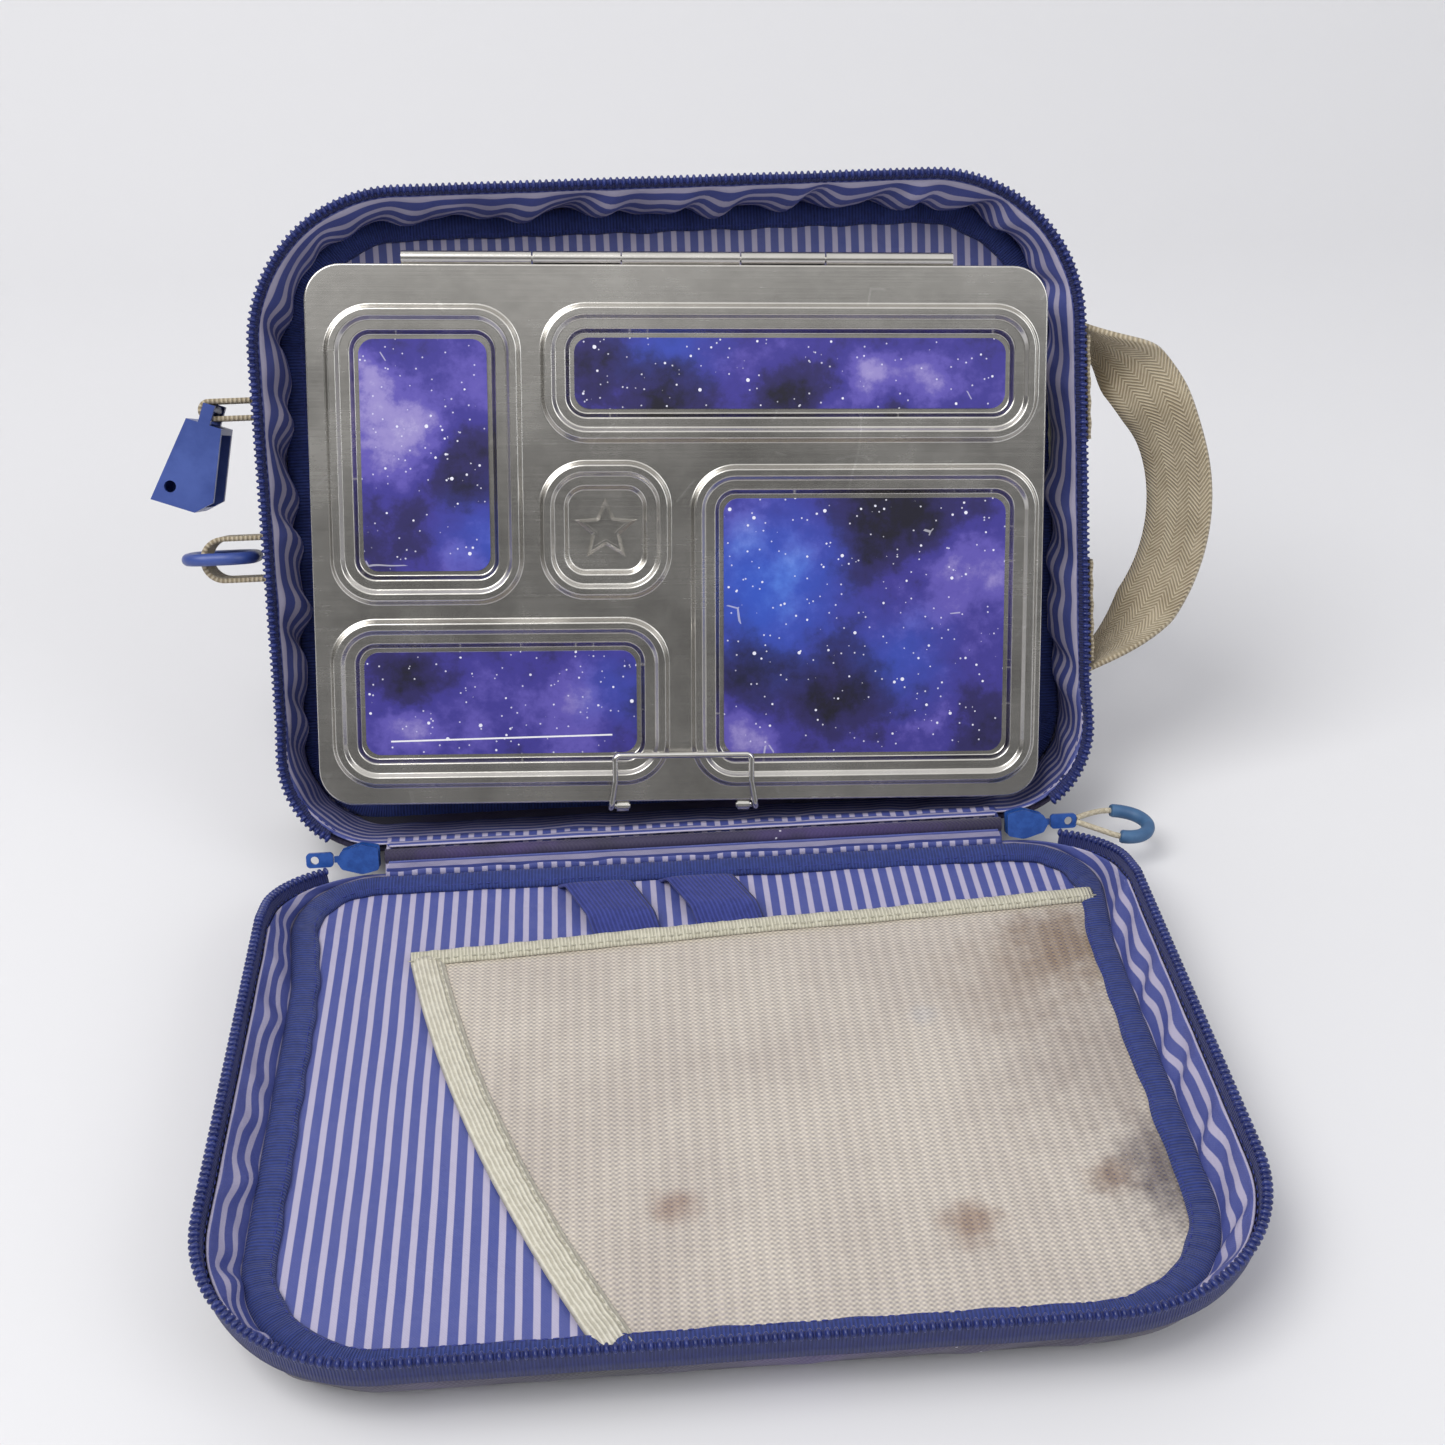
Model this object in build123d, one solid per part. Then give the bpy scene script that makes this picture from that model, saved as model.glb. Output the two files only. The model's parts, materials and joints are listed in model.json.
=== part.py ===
"""Insulated carry bag, open flat, with a divided steel lunch box in its leaning back half.

Millimetres, +Z up. The origin is the centre of the face that the front half rests on. The hinge of the
bag runs along X. The front half lies flat towards -Y and the back half leans back from the hinge.
Each half is drawn in one shared pose first: X across, Y up the half from the hinge line, Z inwards
from the hinge plane. Then it is placed.
"""
import os
from math import cos, radians, sin, tan

from build123d import *

# ---- bag, overall
bag_width = 280.0
bag_height = 220.0          # from the hinge line to the far edge
far_radius = 52.0           # corners away from the hinge
near_radius = 34.0          # corners beside the hinge
back_lean = 24.0            # degrees, the back half leans back from upright
front_outer = 14.0          # hinge plane to the outer face of the front half
back_outer = 54.0           # hinge plane to the outer face of the back half
zip_rise = 13.0             # hinge plane to the zipper plane
dip_run = 45.0              # length over which the zipper drops to the hinge
hinge_end = 2.0             # from each end of the cloth hinge to the rounding of the corner

# ---- bag, cloth layers
front_pad = 6.0
back_pad = 8.0
gusset_wall = 2.2
lining_wall = 1.6
binding_width = 9.0
binding_wall = 1.3
tape_width = 10.0
tape_wall = 1.6
chain_width = 3.2
chain_depth = 2.4
zip_gap = 0.3
hinge_radius = 2.2
running_gap = 0.4
slider_room = 6.0           # radius kept free about the hinge axis beyond the fabric hinge

# ---- pocket and loops on the front half's lining
pocket_wall = 1.0
pocket_left = -93.0
pocket_left_y = 47.0
pocket_right_y = 32.0
pocket_foot_x = -36.0
pocket_bulge = 7.0
pocket_binding_width = 6.0
pocket_binding_wall = 1.8
side_binding_width = 10.0
band_width = 22.0
band_wall = 1.0
band_rise = 4.8
band_lefts = (-47.0, -13.5)
band_lean = 12.0            # sideways run of a band from the hinge end to the pocket
band_short = 0.8            # between a band's upper foot and the pocket's edge
band_foot = 1.0             # flat run of a band's upper foot

# ---- steel box
box_width = 244.0
box_height = 178.0
box_depth = 38.0
box_radius = 12.0
sheet = 0.7
box_low = 12.5              # hinge line to the lower edge of the box
box_back_gap = 0.4
box_roll = 2.2              # degrees, the box sits slightly turned in the bag, clockwise seen from inside
lid_lip = 3.0
lid_gap = 0.6
rod_radius = 1.0
knuckle_radius = 2.3
knuckle_tuck = 0.3          # overlap of a knuckle and the box's edge
knuckle_gap = 0.4
panel_radius = 15.0
bead_height = 2.2
bead_slope = 1.3
bead_top = 2.3
terrace_height = 0.8
terrace_width = 3.2
floor_drop = 1.2
profile_round = 0.7
magnet_wall = 1.0
magnet_radius = 5.0
well_inset = 1.0
well_radius = 13.0
well_foot = 6.0
web_drop = 1.4

# left, top, right and bottom of each pressed panel, measured from the lid's upper left corner
panels = {
    "upper_left": (6.0, 13.0, 69.5, 110.5),
    "upper_right": (76.0, 12.5, 241.0, 57.5),
    "centre": (75.0, 63.5, 118.5, 109.0),
    "lower_left": (5.0, 115.5, 117.5, 172.0),
    "lower_right": (125.0, 65.0, 242.0, 173.0),
}
magnet_names = ("upper_left", "upper_right", "lower_left", "lower_right")
magnet_margin = 11.0
lid_knuckles = ((-90.5, -48.5), (-19.0, 19.5), (48.0, 90.0))
tray_knuckles = ((-48.0, -19.5), (20.0, 47.5))
star_radius = 11.0
star_inner = 5.0
star_height = 1.3
star_slope = 40.0           # degrees, the sloping sides of the pressed star
star_rim = 0.62             # outline of the star's sunk middle, as a share of the star

# ---- wire bail
bail_width = 49.0
bail_reach = 18.0           # from its pivot up over the lid
wire_radius = 1.0
bail_clear = 0.4            # wire to the top of the pressed beads
bail_pin = 6.5              # the turned-in end of each leg
eyelet_wall = 0.8
eyelet_play = 0.1
eyelet_tuck = 0.25          # overlap of an eyelet and the lid's lip
bail_round = 1.8            # bends of the wire
bail_step = 9.0             # where the hoop narrows
bail_narrow = 1.5

# ---- webbing, patch and label
handle_width = 25.0
handle_wall = 2.2
handle_low = 48.0
handle_high = 168.0
handle_reach = 36.0
side_centre = 30.0          # depth of the side straps' centre line below the hinge plane
patch_width = 27.0
patch_height = 35.0
patch_wall = 1.4
patch_gap = 4.5             # from the strap's sewn end to its patch
label_width = 12.0
label_height = 32.0
label_wall = 0.5
label_middle = 128.0

# ---- side clip
clip_width = 15.0
clip_wall = 2.2
upper_strap_y = 150.0
lower_strap_y = 100.0
upper_reach = 15.0
lower_reach = 14.0
upper_half = 3.9
lower_half = 8.0
bar_radius = 1.5
hook_length = 34.0
hook_top = 12.0
hook_foot = 20.0
hook_wall = 2.0
hook_lean = 20.0
hook_hole = 2.0
ring_wire = 2.1
ring_length = 26.0
ring_play = 1.6             # ring to the lower strap's edges
ring_corner = 8.0
ring_tuck = 4.8             # from the bag's side to the ring's inner bar

# ---- zipper sliders, pulls and the cord loop on the right one
slider_length = 14.0
slider_width = 10.0
slider_plate = 1.8
slider_gap = 2.6
slider_post = 2.6
slider_start = 2.0          # from the cloth hinge's end to the slider
pull_length = 9.0
pull_width = 5.0
pull_wall = 1.4
pull_gap = 1.2             # the slider's tip to the pull, which turns there
eye_radius = 1.4
cord_radius = 1.0
grip_radius = 2.3
grip_play = 0.05
cord_route = ((0.0, 1.1, 0.0), (7.0, 5.6, -1.0), (14.5, 8.0, -2.2), (22.5, 5.6, -2.9), (25.8, -1.0, -3.0),
              (22.0, -7.6, -2.7), (14.0, -8.8, -2.0), (6.8, -4.6, -1.0), (0.0, -1.1, 0.0))
grip_points = (2, 6)        # the grip runs from just after the first to just before the second

hinge_y = bag_height / 2
lid_depth = back_outer - back_pad - lining_wall - box_back_gap - box_depth
box_top = box_low + box_height
lid_z = -lid_depth
hinge_half = bag_width / 2 - near_radius - hinge_end
slider_x = hinge_half + slider_start + slider_length / 2
inner_inset = gusset_wall + lining_wall

back_plane = Plane(
    origin=(0, hinge_y, front_outer),
    x_dir=(1, 0, 0),
    z_dir=(0, -cos(radians(back_lean)), sin(radians(back_lean))),
)


def in_front(shape):
    """Places a piece of the front half: turned over the hinge line, flat on the table."""
    return Pos(0, hinge_y, front_outer) * mirror(shape, about=Plane.XZ)


def in_back(shape):
    """Places a piece of the leaning back half."""
    return back_plane.location * shape


def in_box(shape):
    """Places a piece of the steel box, which lies slightly turned in the back half."""
    centre = Pos(0, box_low + box_height / 2)
    return in_back(centre * Rot(0, 0, -box_roll) * centre.inverse() * shape)


# ---- shared shapes of the two halves

def outline(inset):
    """The rounded outline of a half, drawn in by an inset."""
    sheet_face = Pos(0, bag_height / 2) * Rectangle(bag_width - 2 * inset, bag_height - 2 * inset)
    rows = sheet_face.vertices().group_by(Axis.Y)
    sheet_face = fillet(rows[-1], far_radius - inset)
    return fillet(sheet_face.vertices().group_by(Axis.Y)[0], near_radius - inset)


def prism(inset, low, high):
    return Pos(0, 0, low) * extrude(outline(inset), amount=high - low)


def under_zip(zip_z, drop):
    """All that lies below the zipper line less a drop: level, then sloping to the hinge line."""
    far = bag_height + 50
    line = ((-60, -drop), (0, -drop), (dip_run, zip_z - drop), (far, zip_z - drop), (far, -120), (-60, -120))
    return extrude(Plane.YZ * Polygon(*line, align=None), amount=bag_width, both=True)


def hinge_block():
    """The middle of the hinge side, where cloth and no zipper joins the halves."""
    return Pos(0, 10, 0) * Box(2 * hinge_half, 60, 200)


def about_hinge(radius, half_length):
    return Rot(0, 90, 0) * Cylinder(radius, 2 * half_length)


def above_table(gap):
    """What lies higher than a gap above the table, in the back half's own pose."""
    slab = Pos(0, hinge_y, gap + 300) * Box(900, 900, 600)
    return back_plane.location.inverse() * slab


def anywhere(gap):
    return Box(2000, 2000, 2000)


def make_half(prefix, zip_z, outer, pad, keep, hinge_room):
    """The sewn layers of one half. keep(gap) is the space that a layer may fill."""
    floor = pad - outer
    high = abs(zip_z) + 10
    full = prism(0, floor, high)
    cloth = under_zip(zip_z, tape_width) + (under_zip(zip_z, zip_gap) & hinge_block())
    room = about_hinge(hinge_room, bag_width) + (about_hinge(slider_room, bag_width) - hinge_block())
    gusset = (full & keep(0)) - (prism(gusset_wall, floor - 1, high + 1) & keep(gusset_wall))
    lining = prism(gusset_wall, floor, high) & keep(gusset_wall)
    lining -= prism(inner_inset, floor + lining_wall, high + 1) & keep(inner_inset)
    seam = prism(inner_inset, floor + lining_wall, floor + lining_wall + binding_wall)
    seam -= prism(inner_inset + binding_width, floor, high)
    half_tape = tape_wall / 2
    tape_ring = prism(gusset_wall - half_tape, floor, high) - prism(gusset_wall + half_tape, floor, high)
    chain_ring = prism(0, floor, high) - prism(chain_width, floor, high)
    tape_band = under_zip(zip_z, zip_gap + chain_depth) - under_zip(zip_z, tape_width) - hinge_block()
    chain_band = under_zip(zip_z, zip_gap) - under_zip(zip_z, zip_gap + chain_depth) - hinge_block()
    return {
        prefix + "_panel": prism(0, -outer, floor) & keep(0),
        prefix + "_gusset": (gusset & cloth) - room,
        prefix + "_lining": (lining & cloth) - room,
        prefix + "_binding": seam & keep(inner_inset),
        prefix + "_zipper_tape": (tape_ring & tape_band) - room,
        prefix + "_zipper_teeth": (chain_ring & chain_band) - room,
    }


# ---- front half: pocket and loops

def lining_top():
    return front_pad - front_outer + lining_wall


def pocket_shape(grow):
    """The pocket's outline: slanting top, bowed left side, and the lining's edge on the rest."""
    reach = bag_width
    slope = (pocket_right_y - pocket_left_y) / (bag_width / 2 - pocket_left)
    top_right = (reach, pocket_left_y + slope * (reach - pocket_left) - grow)
    top_left = (pocket_left + grow, pocket_left_y - grow)
    foot = (pocket_foot_x + grow, bag_height)
    middle = ((top_left[0] + foot[0]) / 2 - pocket_bulge, (top_left[1] + foot[1]) / 2)
    side = ThreePointArc(top_left, middle, foot)
    rest = Polyline(foot, (reach, bag_height), top_right, top_left)
    return make_face([side, rest]) & outline(inner_inset + binding_width)


def pocket_pieces():
    low = lining_top()
    whole = pocket_shape(0)
    no_side = Pos(side_binding_width, 0) * pocket_shape(0) & outline(inner_inset + binding_width)
    no_top = Pos(0, pocket_binding_width) * pocket_shape(0)
    top = whole - no_top
    side = (whole - no_side) - top
    mesh = whole - top - side
    return {
        "mesh_pocket": Pos(0, 0, low) * extrude(mesh, amount=pocket_wall),
        "pocket_top_binding": Pos(0, 0, low) * extrude(top, amount=pocket_binding_wall),
        "pocket_side_binding": Pos(0, 0, low) * extrude(side, amount=pocket_binding_wall),
    }


def utensil_band(left):
    """A slanting loop of elastic: feet at the hinge seam and at the pocket, arched between."""
    start = inner_inset + binding_width
    slope = (pocket_right_y - pocket_left_y) / (bag_width / 2 - pocket_left)
    end = pocket_left_y + (left + band_lean + band_width - pocket_left) * slope - band_short
    low = lining_top()
    crown = low + band_rise
    rise_end, fall_start, fall_end = start + band_rise, end - band_rise - band_foot, end - band_foot
    outer = [(start, low), (start, low + band_wall), (rise_end, crown + band_wall),
             (fall_start, crown + band_wall), (fall_end, low + band_wall), (end, low + band_wall), (end, low)]
    inner = [(start + 1.5 * band_wall, low), (rise_end, crown), (fall_start, crown),
             (fall_end - 1.5 * band_wall, low)]
    face = Plane.YZ * Polygon(*outer, *reversed(inner), align=None)
    plan = Polygon((left, start), (left + band_width, start), (left + band_width + band_lean, end),
                   (left + band_lean, end), align=None)
    return extrude(face, amount=bag_width, both=True) & extrude(plan, amount=back_outer, both=True)


# ---- steel box, in the back half's pose

def panel_rect(name, inset, radius):
    """The rounded outline of a pressed panel, drawn in by an inset."""
    left, top, right, bottom = panels[name]
    centre = ((left + right) / 2 - box_width / 2, box_top - (top + bottom) / 2)
    shape = RectangleRounded(right - left - 2 * inset, bottom - top - 2 * inset, radius - inset)
    return Pos(*centre) * shape


def panel_frame(name):
    """The pressed frame of a panel: a bead, a terrace and a step down to the floor, one sheet thick."""
    left, top, right, bottom = panels[name]
    crest = bead_slope + bead_top
    shelf = crest + bead_slope
    drop = shelf + terrace_width
    upper = [(-1.5, 0), (0, 0), (bead_slope, bead_height), (crest, bead_height), (shelf, terrace_height),
             (drop, terrace_height), (drop + bead_slope, -floor_drop), (drop + bead_slope + 1.2, -floor_drop)]
    lower = [(r, z - sheet) for r, z in reversed(upper)]
    face = make_face([FilletPolyline(*upper, radius=profile_round), Line(upper[-1], lower[0]),
                      FilletPolyline(*lower, radius=profile_round), Line(lower[-1], upper[0])])
    path = panel_rect(name, 0, panel_radius).wire()
    middle = Vector((left + right) / 2 - box_width / 2, box_top - bottom)
    start = Plane(origin=middle, x_dir=(0, 1, 0), z_dir=(1, 0, 0))
    return sweep(start * face, path=path, transition=Transition.RIGHT), drop + bead_slope


def box_outline(inset):
    shape = RectangleRounded(box_width - 2 * inset, box_height - 2 * inset, box_radius - inset)
    return Pos(0, box_low + box_height / 2) * shape


rod_y = box_top + knuckle_radius - knuckle_tuck
rod_z = lid_z - knuckle_radius


def rod_at(radius, left, right):
    return Pos((left + right) / 2, rod_y, rod_z) * Rot(0, 90, 0) * Cylinder(radius, right - left)


def star(radius, inner, points=5):
    """A plain pressed star for the middle panel."""
    step = 180 / points
    corners = []
    for k in range(2 * points):
        reach = radius if k % 2 == 0 else inner
        angle = radians(90 + k * step)
        corners.append((reach * cos(angle), reach * sin(angle)))
    return Polygon(*corners, align=None)


def make_lid():
    plate = extrude(box_outline(0), amount=-lid_lip)
    plate -= Pos(0, 0, -sheet) * extrude(box_outline(sheet), amount=-lid_lip)
    plate = fillet(plate.faces().sort_by(Axis.Z)[-1].outer_wire().edges(), sheet * 0.9)
    floor_inset = 0
    for name in panels:
        plate -= Pos(0, 0, -2) * extrude(panel_rect(name, -1.2, panel_radius), amount=4)
    for name in panels:
        frame, floor_inset = panel_frame(name)
        level = -floor_drop
        floor = extrude(panel_rect(name, floor_inset + 0.9, panel_radius), amount=-sheet)
        plate = plate + frame + Pos(0, 0, level) * floor
    left, top, right, bottom = panels["centre"]
    emblem = extrude(star(star_radius, star_inner), amount=star_height, taper=star_slope)
    emblem -= extrude(star(star_radius * star_rim, star_inner * star_rim), amount=2 * star_height)
    emblem = Pos((left + right) / 2 - box_width / 2, box_top - (top + bottom) / 2, -floor_drop) * emblem
    lid = Pos(0, 0, lid_z) * (plate + emblem)
    for left, right in lid_knuckles:
        lid += rod_at(knuckle_radius, left, right)
    for left, right in tray_knuckles:
        lid -= rod_at(knuckle_radius + knuckle_gap, left - knuckle_gap, right + knuckle_gap)
    rings, bores = bail_eyelets()
    for ring in rings:
        lid += ring
    for bore in bores:
        lid -= bore
    return lid - rod_at(rod_radius + 0.1, -box_width, box_width)


def make_tray():
    rim_inset = sheet + lid_gap
    top = lid_z - web_drop
    low = lid_z - box_depth
    rim = extrude(box_outline(rim_inset), amount=-lid_lip)
    rim -= Pos(0, 0, -sheet) * extrude(box_outline(rim_inset + sheet), amount=-lid_lip)
    tray = Pos(0, 0, top) * rim
    for name in panels:
        well = Pos(0, 0, low) * extrude(panel_rect(name, well_inset, well_radius), amount=top - low)
        tray += fillet(well.faces().sort_by(Axis.Z)[0].edges(), well_foot)
    for name in panels:
        inner = panel_rect(name, well_inset + sheet, well_radius)
        hollow = Pos(0, 0, low + sheet) * extrude(inner, amount=top - low)
        tray -= fillet(hollow.faces().sort_by(Axis.Z)[0].edges(), well_foot - sheet)
    for left, right in tray_knuckles:
        arm_low = box_top - rim_inset - sheet
        arm = Box(right - left, rod_y - arm_low, sheet, align=(Align.CENTER, Align.MIN, Align.CENTER))
        arm = Pos((left + right) / 2, arm_low, rod_z - rod_radius - 0.1 - sheet / 2) * arm
        tray += rod_at(knuckle_radius, left, right) + arm
    return tray - rod_at(rod_radius, -box_width, box_width)


def make_magnet(name):
    margin = magnet_margin
    plate = extrude(panel_rect(name, margin, margin + magnet_radius), amount=magnet_wall)
    return Pos(0, 0, lid_z - floor_drop) * plate


eyelet_radius = wire_radius + eyelet_play + eyelet_wall
bail_y = box_low - eyelet_radius + eyelet_tuck
bail_z = lid_z - eyelet_radius + eyelet_tuck


def make_bail():
    """A wire hoop that lies over the lid; its legs end in pins that turn in eyelets on the lid's lip."""
    half = bail_width / 2
    inner = half - bail_narrow
    lift = lid_z + bead_height + wire_radius + bail_clear
    points = [(-half + bail_pin, bail_y, bail_z), (-half, bail_y, bail_z), (-half, bail_y, lift),
              (-inner, bail_y + bail_step, lift), (-inner, bail_y + bail_reach, lift),
              (inner, bail_y + bail_reach, lift), (inner, bail_y + bail_step, lift),
              (half, bail_y, lift), (half, bail_y, bail_z), (half - bail_pin, bail_y, bail_z)]
    path = FilletPolyline(*points, radius=bail_round)
    start = Plane(origin=points[0], z_dir=path % 0)
    return sweep(start * Circle(wire_radius), path=path)


def bail_eyelets():
    """The two rolled eyelets on the lip that hold the bail's pins, and their bores."""
    half = bail_width / 2
    length = bail_pin - 2.5
    rings, bores = [], []
    for side in (-1, 1):
        place = Pos(side * (half - bail_pin + length / 2 + 0.5), bail_y, bail_z) * Rot(0, 90, 0)
        rings.append(place * Cylinder(eyelet_radius, length))
        bores.append(place * Cylinder(wire_radius + eyelet_play, length + 2))
    return rings, bores


# ---- straps, clip, sliders and pull

def make_handle():
    """A webbing loop on the right side, both ends sewn to the gusset."""
    side = bag_width / 2
    middle = (handle_low + handle_high) / 2
    foot = 1.3 * handle_wall
    outer = ThreePointArc((side, handle_low), (side + handle_reach, middle), (side, handle_high))
    inner = ThreePointArc((side, handle_high - foot), (side + handle_reach - handle_wall, middle),
                          (side, handle_low + foot))
    ends = [Line(outer @ 1, inner @ 0), Line(inner @ 1, outer @ 0)]
    band = extrude(make_face([outer, inner, *ends]), amount=handle_width / 2, both=True)
    return Pos(0, 0, -side_centre) * band


def strap_loop(y, reach, half):
    """A loop of webbing that stands out from the left side, rounded at its end."""
    side = -bag_width / 2
    outer = Pos(side - reach / 2, y) * Rectangle(reach, 2 * half)
    outer += Pos(side - reach, y) * Circle(half)
    core = Pos(side - reach / 2, y) * Rectangle(reach, 2 * (half - clip_wall))
    core += Pos(side - reach, y) * Circle(half - clip_wall)
    band = extrude(outer - core, amount=clip_width / 2, both=True)
    return Pos(0, 0, -side_centre) * band


def make_patch(middle):
    """A sewn patch on the right side, inside the handle's arc."""
    patch = Box(patch_wall, patch_height, patch_width, align=(Align.MIN, Align.CENTER, Align.CENTER))
    return Pos(bag_width / 2, middle, -side_centre) * patch


def make_label():
    """A blank tag sewn into the right seam, lying on the binding behind the steel box."""
    level = back_pad - back_outer + lining_wall + binding_wall
    tag = Box(label_width, label_height, label_wall, align=(Align.MAX, Align.CENTER, Align.MIN))
    return Pos(bag_width / 2 - inner_inset, label_middle, level) * tag


hook_x = -bag_width / 2 - upper_reach
ring_x = -bag_width / 2 - ring_tuck
ring_y = lower_strap_y + 0.5


def make_hook():
    """A hollow tapered clip: a bar in the strap's eye, two cheeks and a tapered box open at one side."""
    depth = clip_width / 2 + 0.6 + hook_wall
    head = upper_half + 0.8
    tail = hook_length
    outer = Polygon((-hook_top / 2, -head), (hook_top / 2, -head), (hook_foot / 2, -tail + 5),
                    (hook_foot / 2 - 5, -tail), (-hook_foot / 2, -tail), align=None)
    body = extrude(outer, amount=depth, both=True)
    inner = Polygon((-hook_top / 2 + hook_wall, -head - hook_wall), (hook_foot, -head - hook_wall),
                    (hook_foot, -tail + 5), (hook_foot / 2 - 5, -tail + hook_wall),
                    (-hook_foot / 2 + hook_wall, -tail + hook_wall), align=None)
    body -= extrude(inner, amount=depth - hook_wall, both=True)
    body -= Pos(-hook_foot / 4, -tail + 6, depth) * Cylinder(hook_hole, 4 * hook_wall)
    for side in (-1, 1):
        cheek = Pos(0, -head / 2) * Box(2.6 * bar_radius, head + 2.6 * bar_radius, hook_wall)
        body += Pos(0, 0, side * (depth - hook_wall / 2)) * cheek
    body += Cylinder(bar_radius, 2 * depth)
    return Pos(hook_x, upper_strap_y, -side_centre) * Rot(0, 0, -hook_lean) * body


def make_ring():
    """An oval plastic ring that the lower strap passes through, square to the strap's run."""
    half = clip_width / 2 + ring_play + ring_wire
    oval = Plane.XZ * Pos(-ring_length / 2 + ring_wire, 0)
    oval *= RectangleRounded(ring_length - 2 * ring_wire, 2 * half, ring_corner)
    path = oval.wire()
    start = Plane(origin=path @ 0, z_dir=path % 0)
    return Pos(ring_x, ring_y, -side_centre) * sweep(start * Circle(ring_wire), path=path)


def make_slider(side):
    """Two plates joined by a post, the inner one shield shaped, about the hinge axis."""
    half, tip = slider_width / 2, slider_length / 2
    shield = Polygon((-tip, -half * 0.75), (-tip * 0.2, -half), (tip * 0.75, -half * 0.6), (tip, 0),
                     (tip * 0.75, half * 0.6), (-tip * 0.2, half), (-tip, half * 0.75), align=None)
    plate = extrude(fillet(shield.vertices(), 1.2), amount=slider_plate)
    gap = slider_gap / 2
    body = Pos(0, 0, gap) * plate + Pos(0, 0, -gap - slider_plate) * plate
    body += Box(slider_post, slider_post, slider_gap)
    body &= Rot(0, 90, 0) * Cylinder(slider_room - zip_gap, slider_length)
    arm_end = tip + pull_gap - 0.3
    body += Box(arm_end, 2.0, 1.4, align=(Align.MIN, Align.CENTER, Align.CENTER))
    if side < 0:
        body = mirror(body, about=Plane.YZ)
    return Pos(side * slider_x, 0, 0) * body


def make_pull(side):
    """A small tab at the slider's tip, with an eye at its outer end."""
    start = slider_length / 2 + pull_gap
    tab = Pos(start + pull_length / 2, 0, 0) * Box(pull_length, pull_width, pull_wall)
    tab = fillet(tab.edges().filter_by(Axis.Z), 1.4)
    tab -= Pos(start + pull_length - 2.8, 0, 0) * Cylinder(eye_radius, 2 * pull_wall)
    if side < 0:
        tab = mirror(tab, about=Plane.YZ)
    return Pos(side * slider_x, 0, 0) * tab


def arc_radii(points):
    """Radii of arcs as large as the runs beside each corner allow."""
    radii = []
    for before, corner, after in zip(points, points[1:], points[2:]):
        run_in = corner - before
        run_out = after - corner
        turn = radians(run_in.get_angle(run_out))
        radii.append(0.45 * min(run_in.length, run_out.length) / tan(turn / 2))
    return radii


def tube(points, radii, outer, bore=0.0):
    path = FilletPolyline(*points, radius=radii)
    start = Plane(origin=points[0], z_dir=path % 0)
    ring = Circle(outer) - Circle(bore) if bore else Circle(outer)
    return sweep(start * ring, path=path), path.length


cord_x = slider_x + slider_length / 2 + pull_gap + pull_length


def cord_points():
    return [(cord_x + x, hinge_y + y, front_outer + z) for x, y, z in cord_route]


def grip_route():
    """The part of the cord's route that the rubber grip covers, from mid run to mid run."""
    points = [Vector(*p) for p in cord_points()]
    first, last = grip_points
    start = (points[first - 1] + points[first]) * 0.5
    end = (points[last] + points[last + 1]) * 0.5
    return [tuple(p) for p in (start, *points[first:last + 1], end)]


# ---- build every piece

pieces = {}
front = make_half("front", zip_rise, front_outer, front_pad, anywhere, hinge_radius + running_gap)
back = make_half("back", -zip_rise, back_outer, back_pad, above_table, hinge_radius)
for name, shape in front.items():
    pieces[name] = in_front(shape)
for name, shape in back.items():
    pieces[name] = in_back(shape)
pieces["hinge_strip"] = in_back(about_hinge(hinge_radius, hinge_half))
for name, shape in pocket_pieces().items():
    pieces[name] = in_front(shape)
for name, left in zip(("utensil_band_left", "utensil_band_right"), band_lefts):
    pieces[name] = in_front(utensil_band(left))

pieces["tray"] = in_box(make_tray())
pieces["lid"] = in_box(make_lid())
pieces["hinge_rod"] = in_box(rod_at(rod_radius, lid_knuckles[0][0] + 1, lid_knuckles[-1][1] - 1))
for name in magnet_names:
    pieces["magnet_" + name] = in_box(make_magnet(name))
pieces["bail"] = in_box(make_bail())

pieces["handle_strap"] = in_back(make_handle())
pieces["handle_patch_upper"] = in_back(make_patch(handle_high - patch_gap - patch_height / 2))
pieces["handle_patch_lower"] = in_back(make_patch(handle_low + patch_gap + patch_height / 2))
pieces["care_label"] = in_back(make_label())
pieces["clip_strap_upper"] = in_back(strap_loop(upper_strap_y, upper_reach, upper_half))
pieces["clip_strap_lower"] = in_back(strap_loop(lower_strap_y, lower_reach, lower_half))
pieces["clip_hook"] = in_back(make_hook())
pieces["clip_ring"] = in_back(make_ring())
for name, side in (("left", -1), ("right", 1)):
    pieces["slider_" + name] = in_back(make_slider(side))
    pieces["pull_tab_" + name] = in_back(make_pull(side))

cord_radii = arc_radii([Vector(*point) for point in cord_points()])
grip_radii = cord_radii[grip_points[0] - 1:grip_points[1]]
pieces["pull_cord"], cord_length = tube(cord_points(), cord_radii, cord_radius)
pieces["cord_grip"], _ = tube(grip_route(), grip_radii, grip_radius, cord_radius + grip_play)
print("cord length", round(cord_length, 1), "radii", [round(r, 1) for r in cord_radii])

os.makedirs("parts", exist_ok=True)
for name, shape in pieces.items():
    export_step(shape, "parts/" + name + ".step")
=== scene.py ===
"""An insulated carry bag, open, with a divided steel lunch box in its leaning back half."""
import json
from math import cos, hypot, pi, radians, sin, tau

import bmesh
import bpy
import numpy as np
from mathutils import Matrix, Vector, noise


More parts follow.
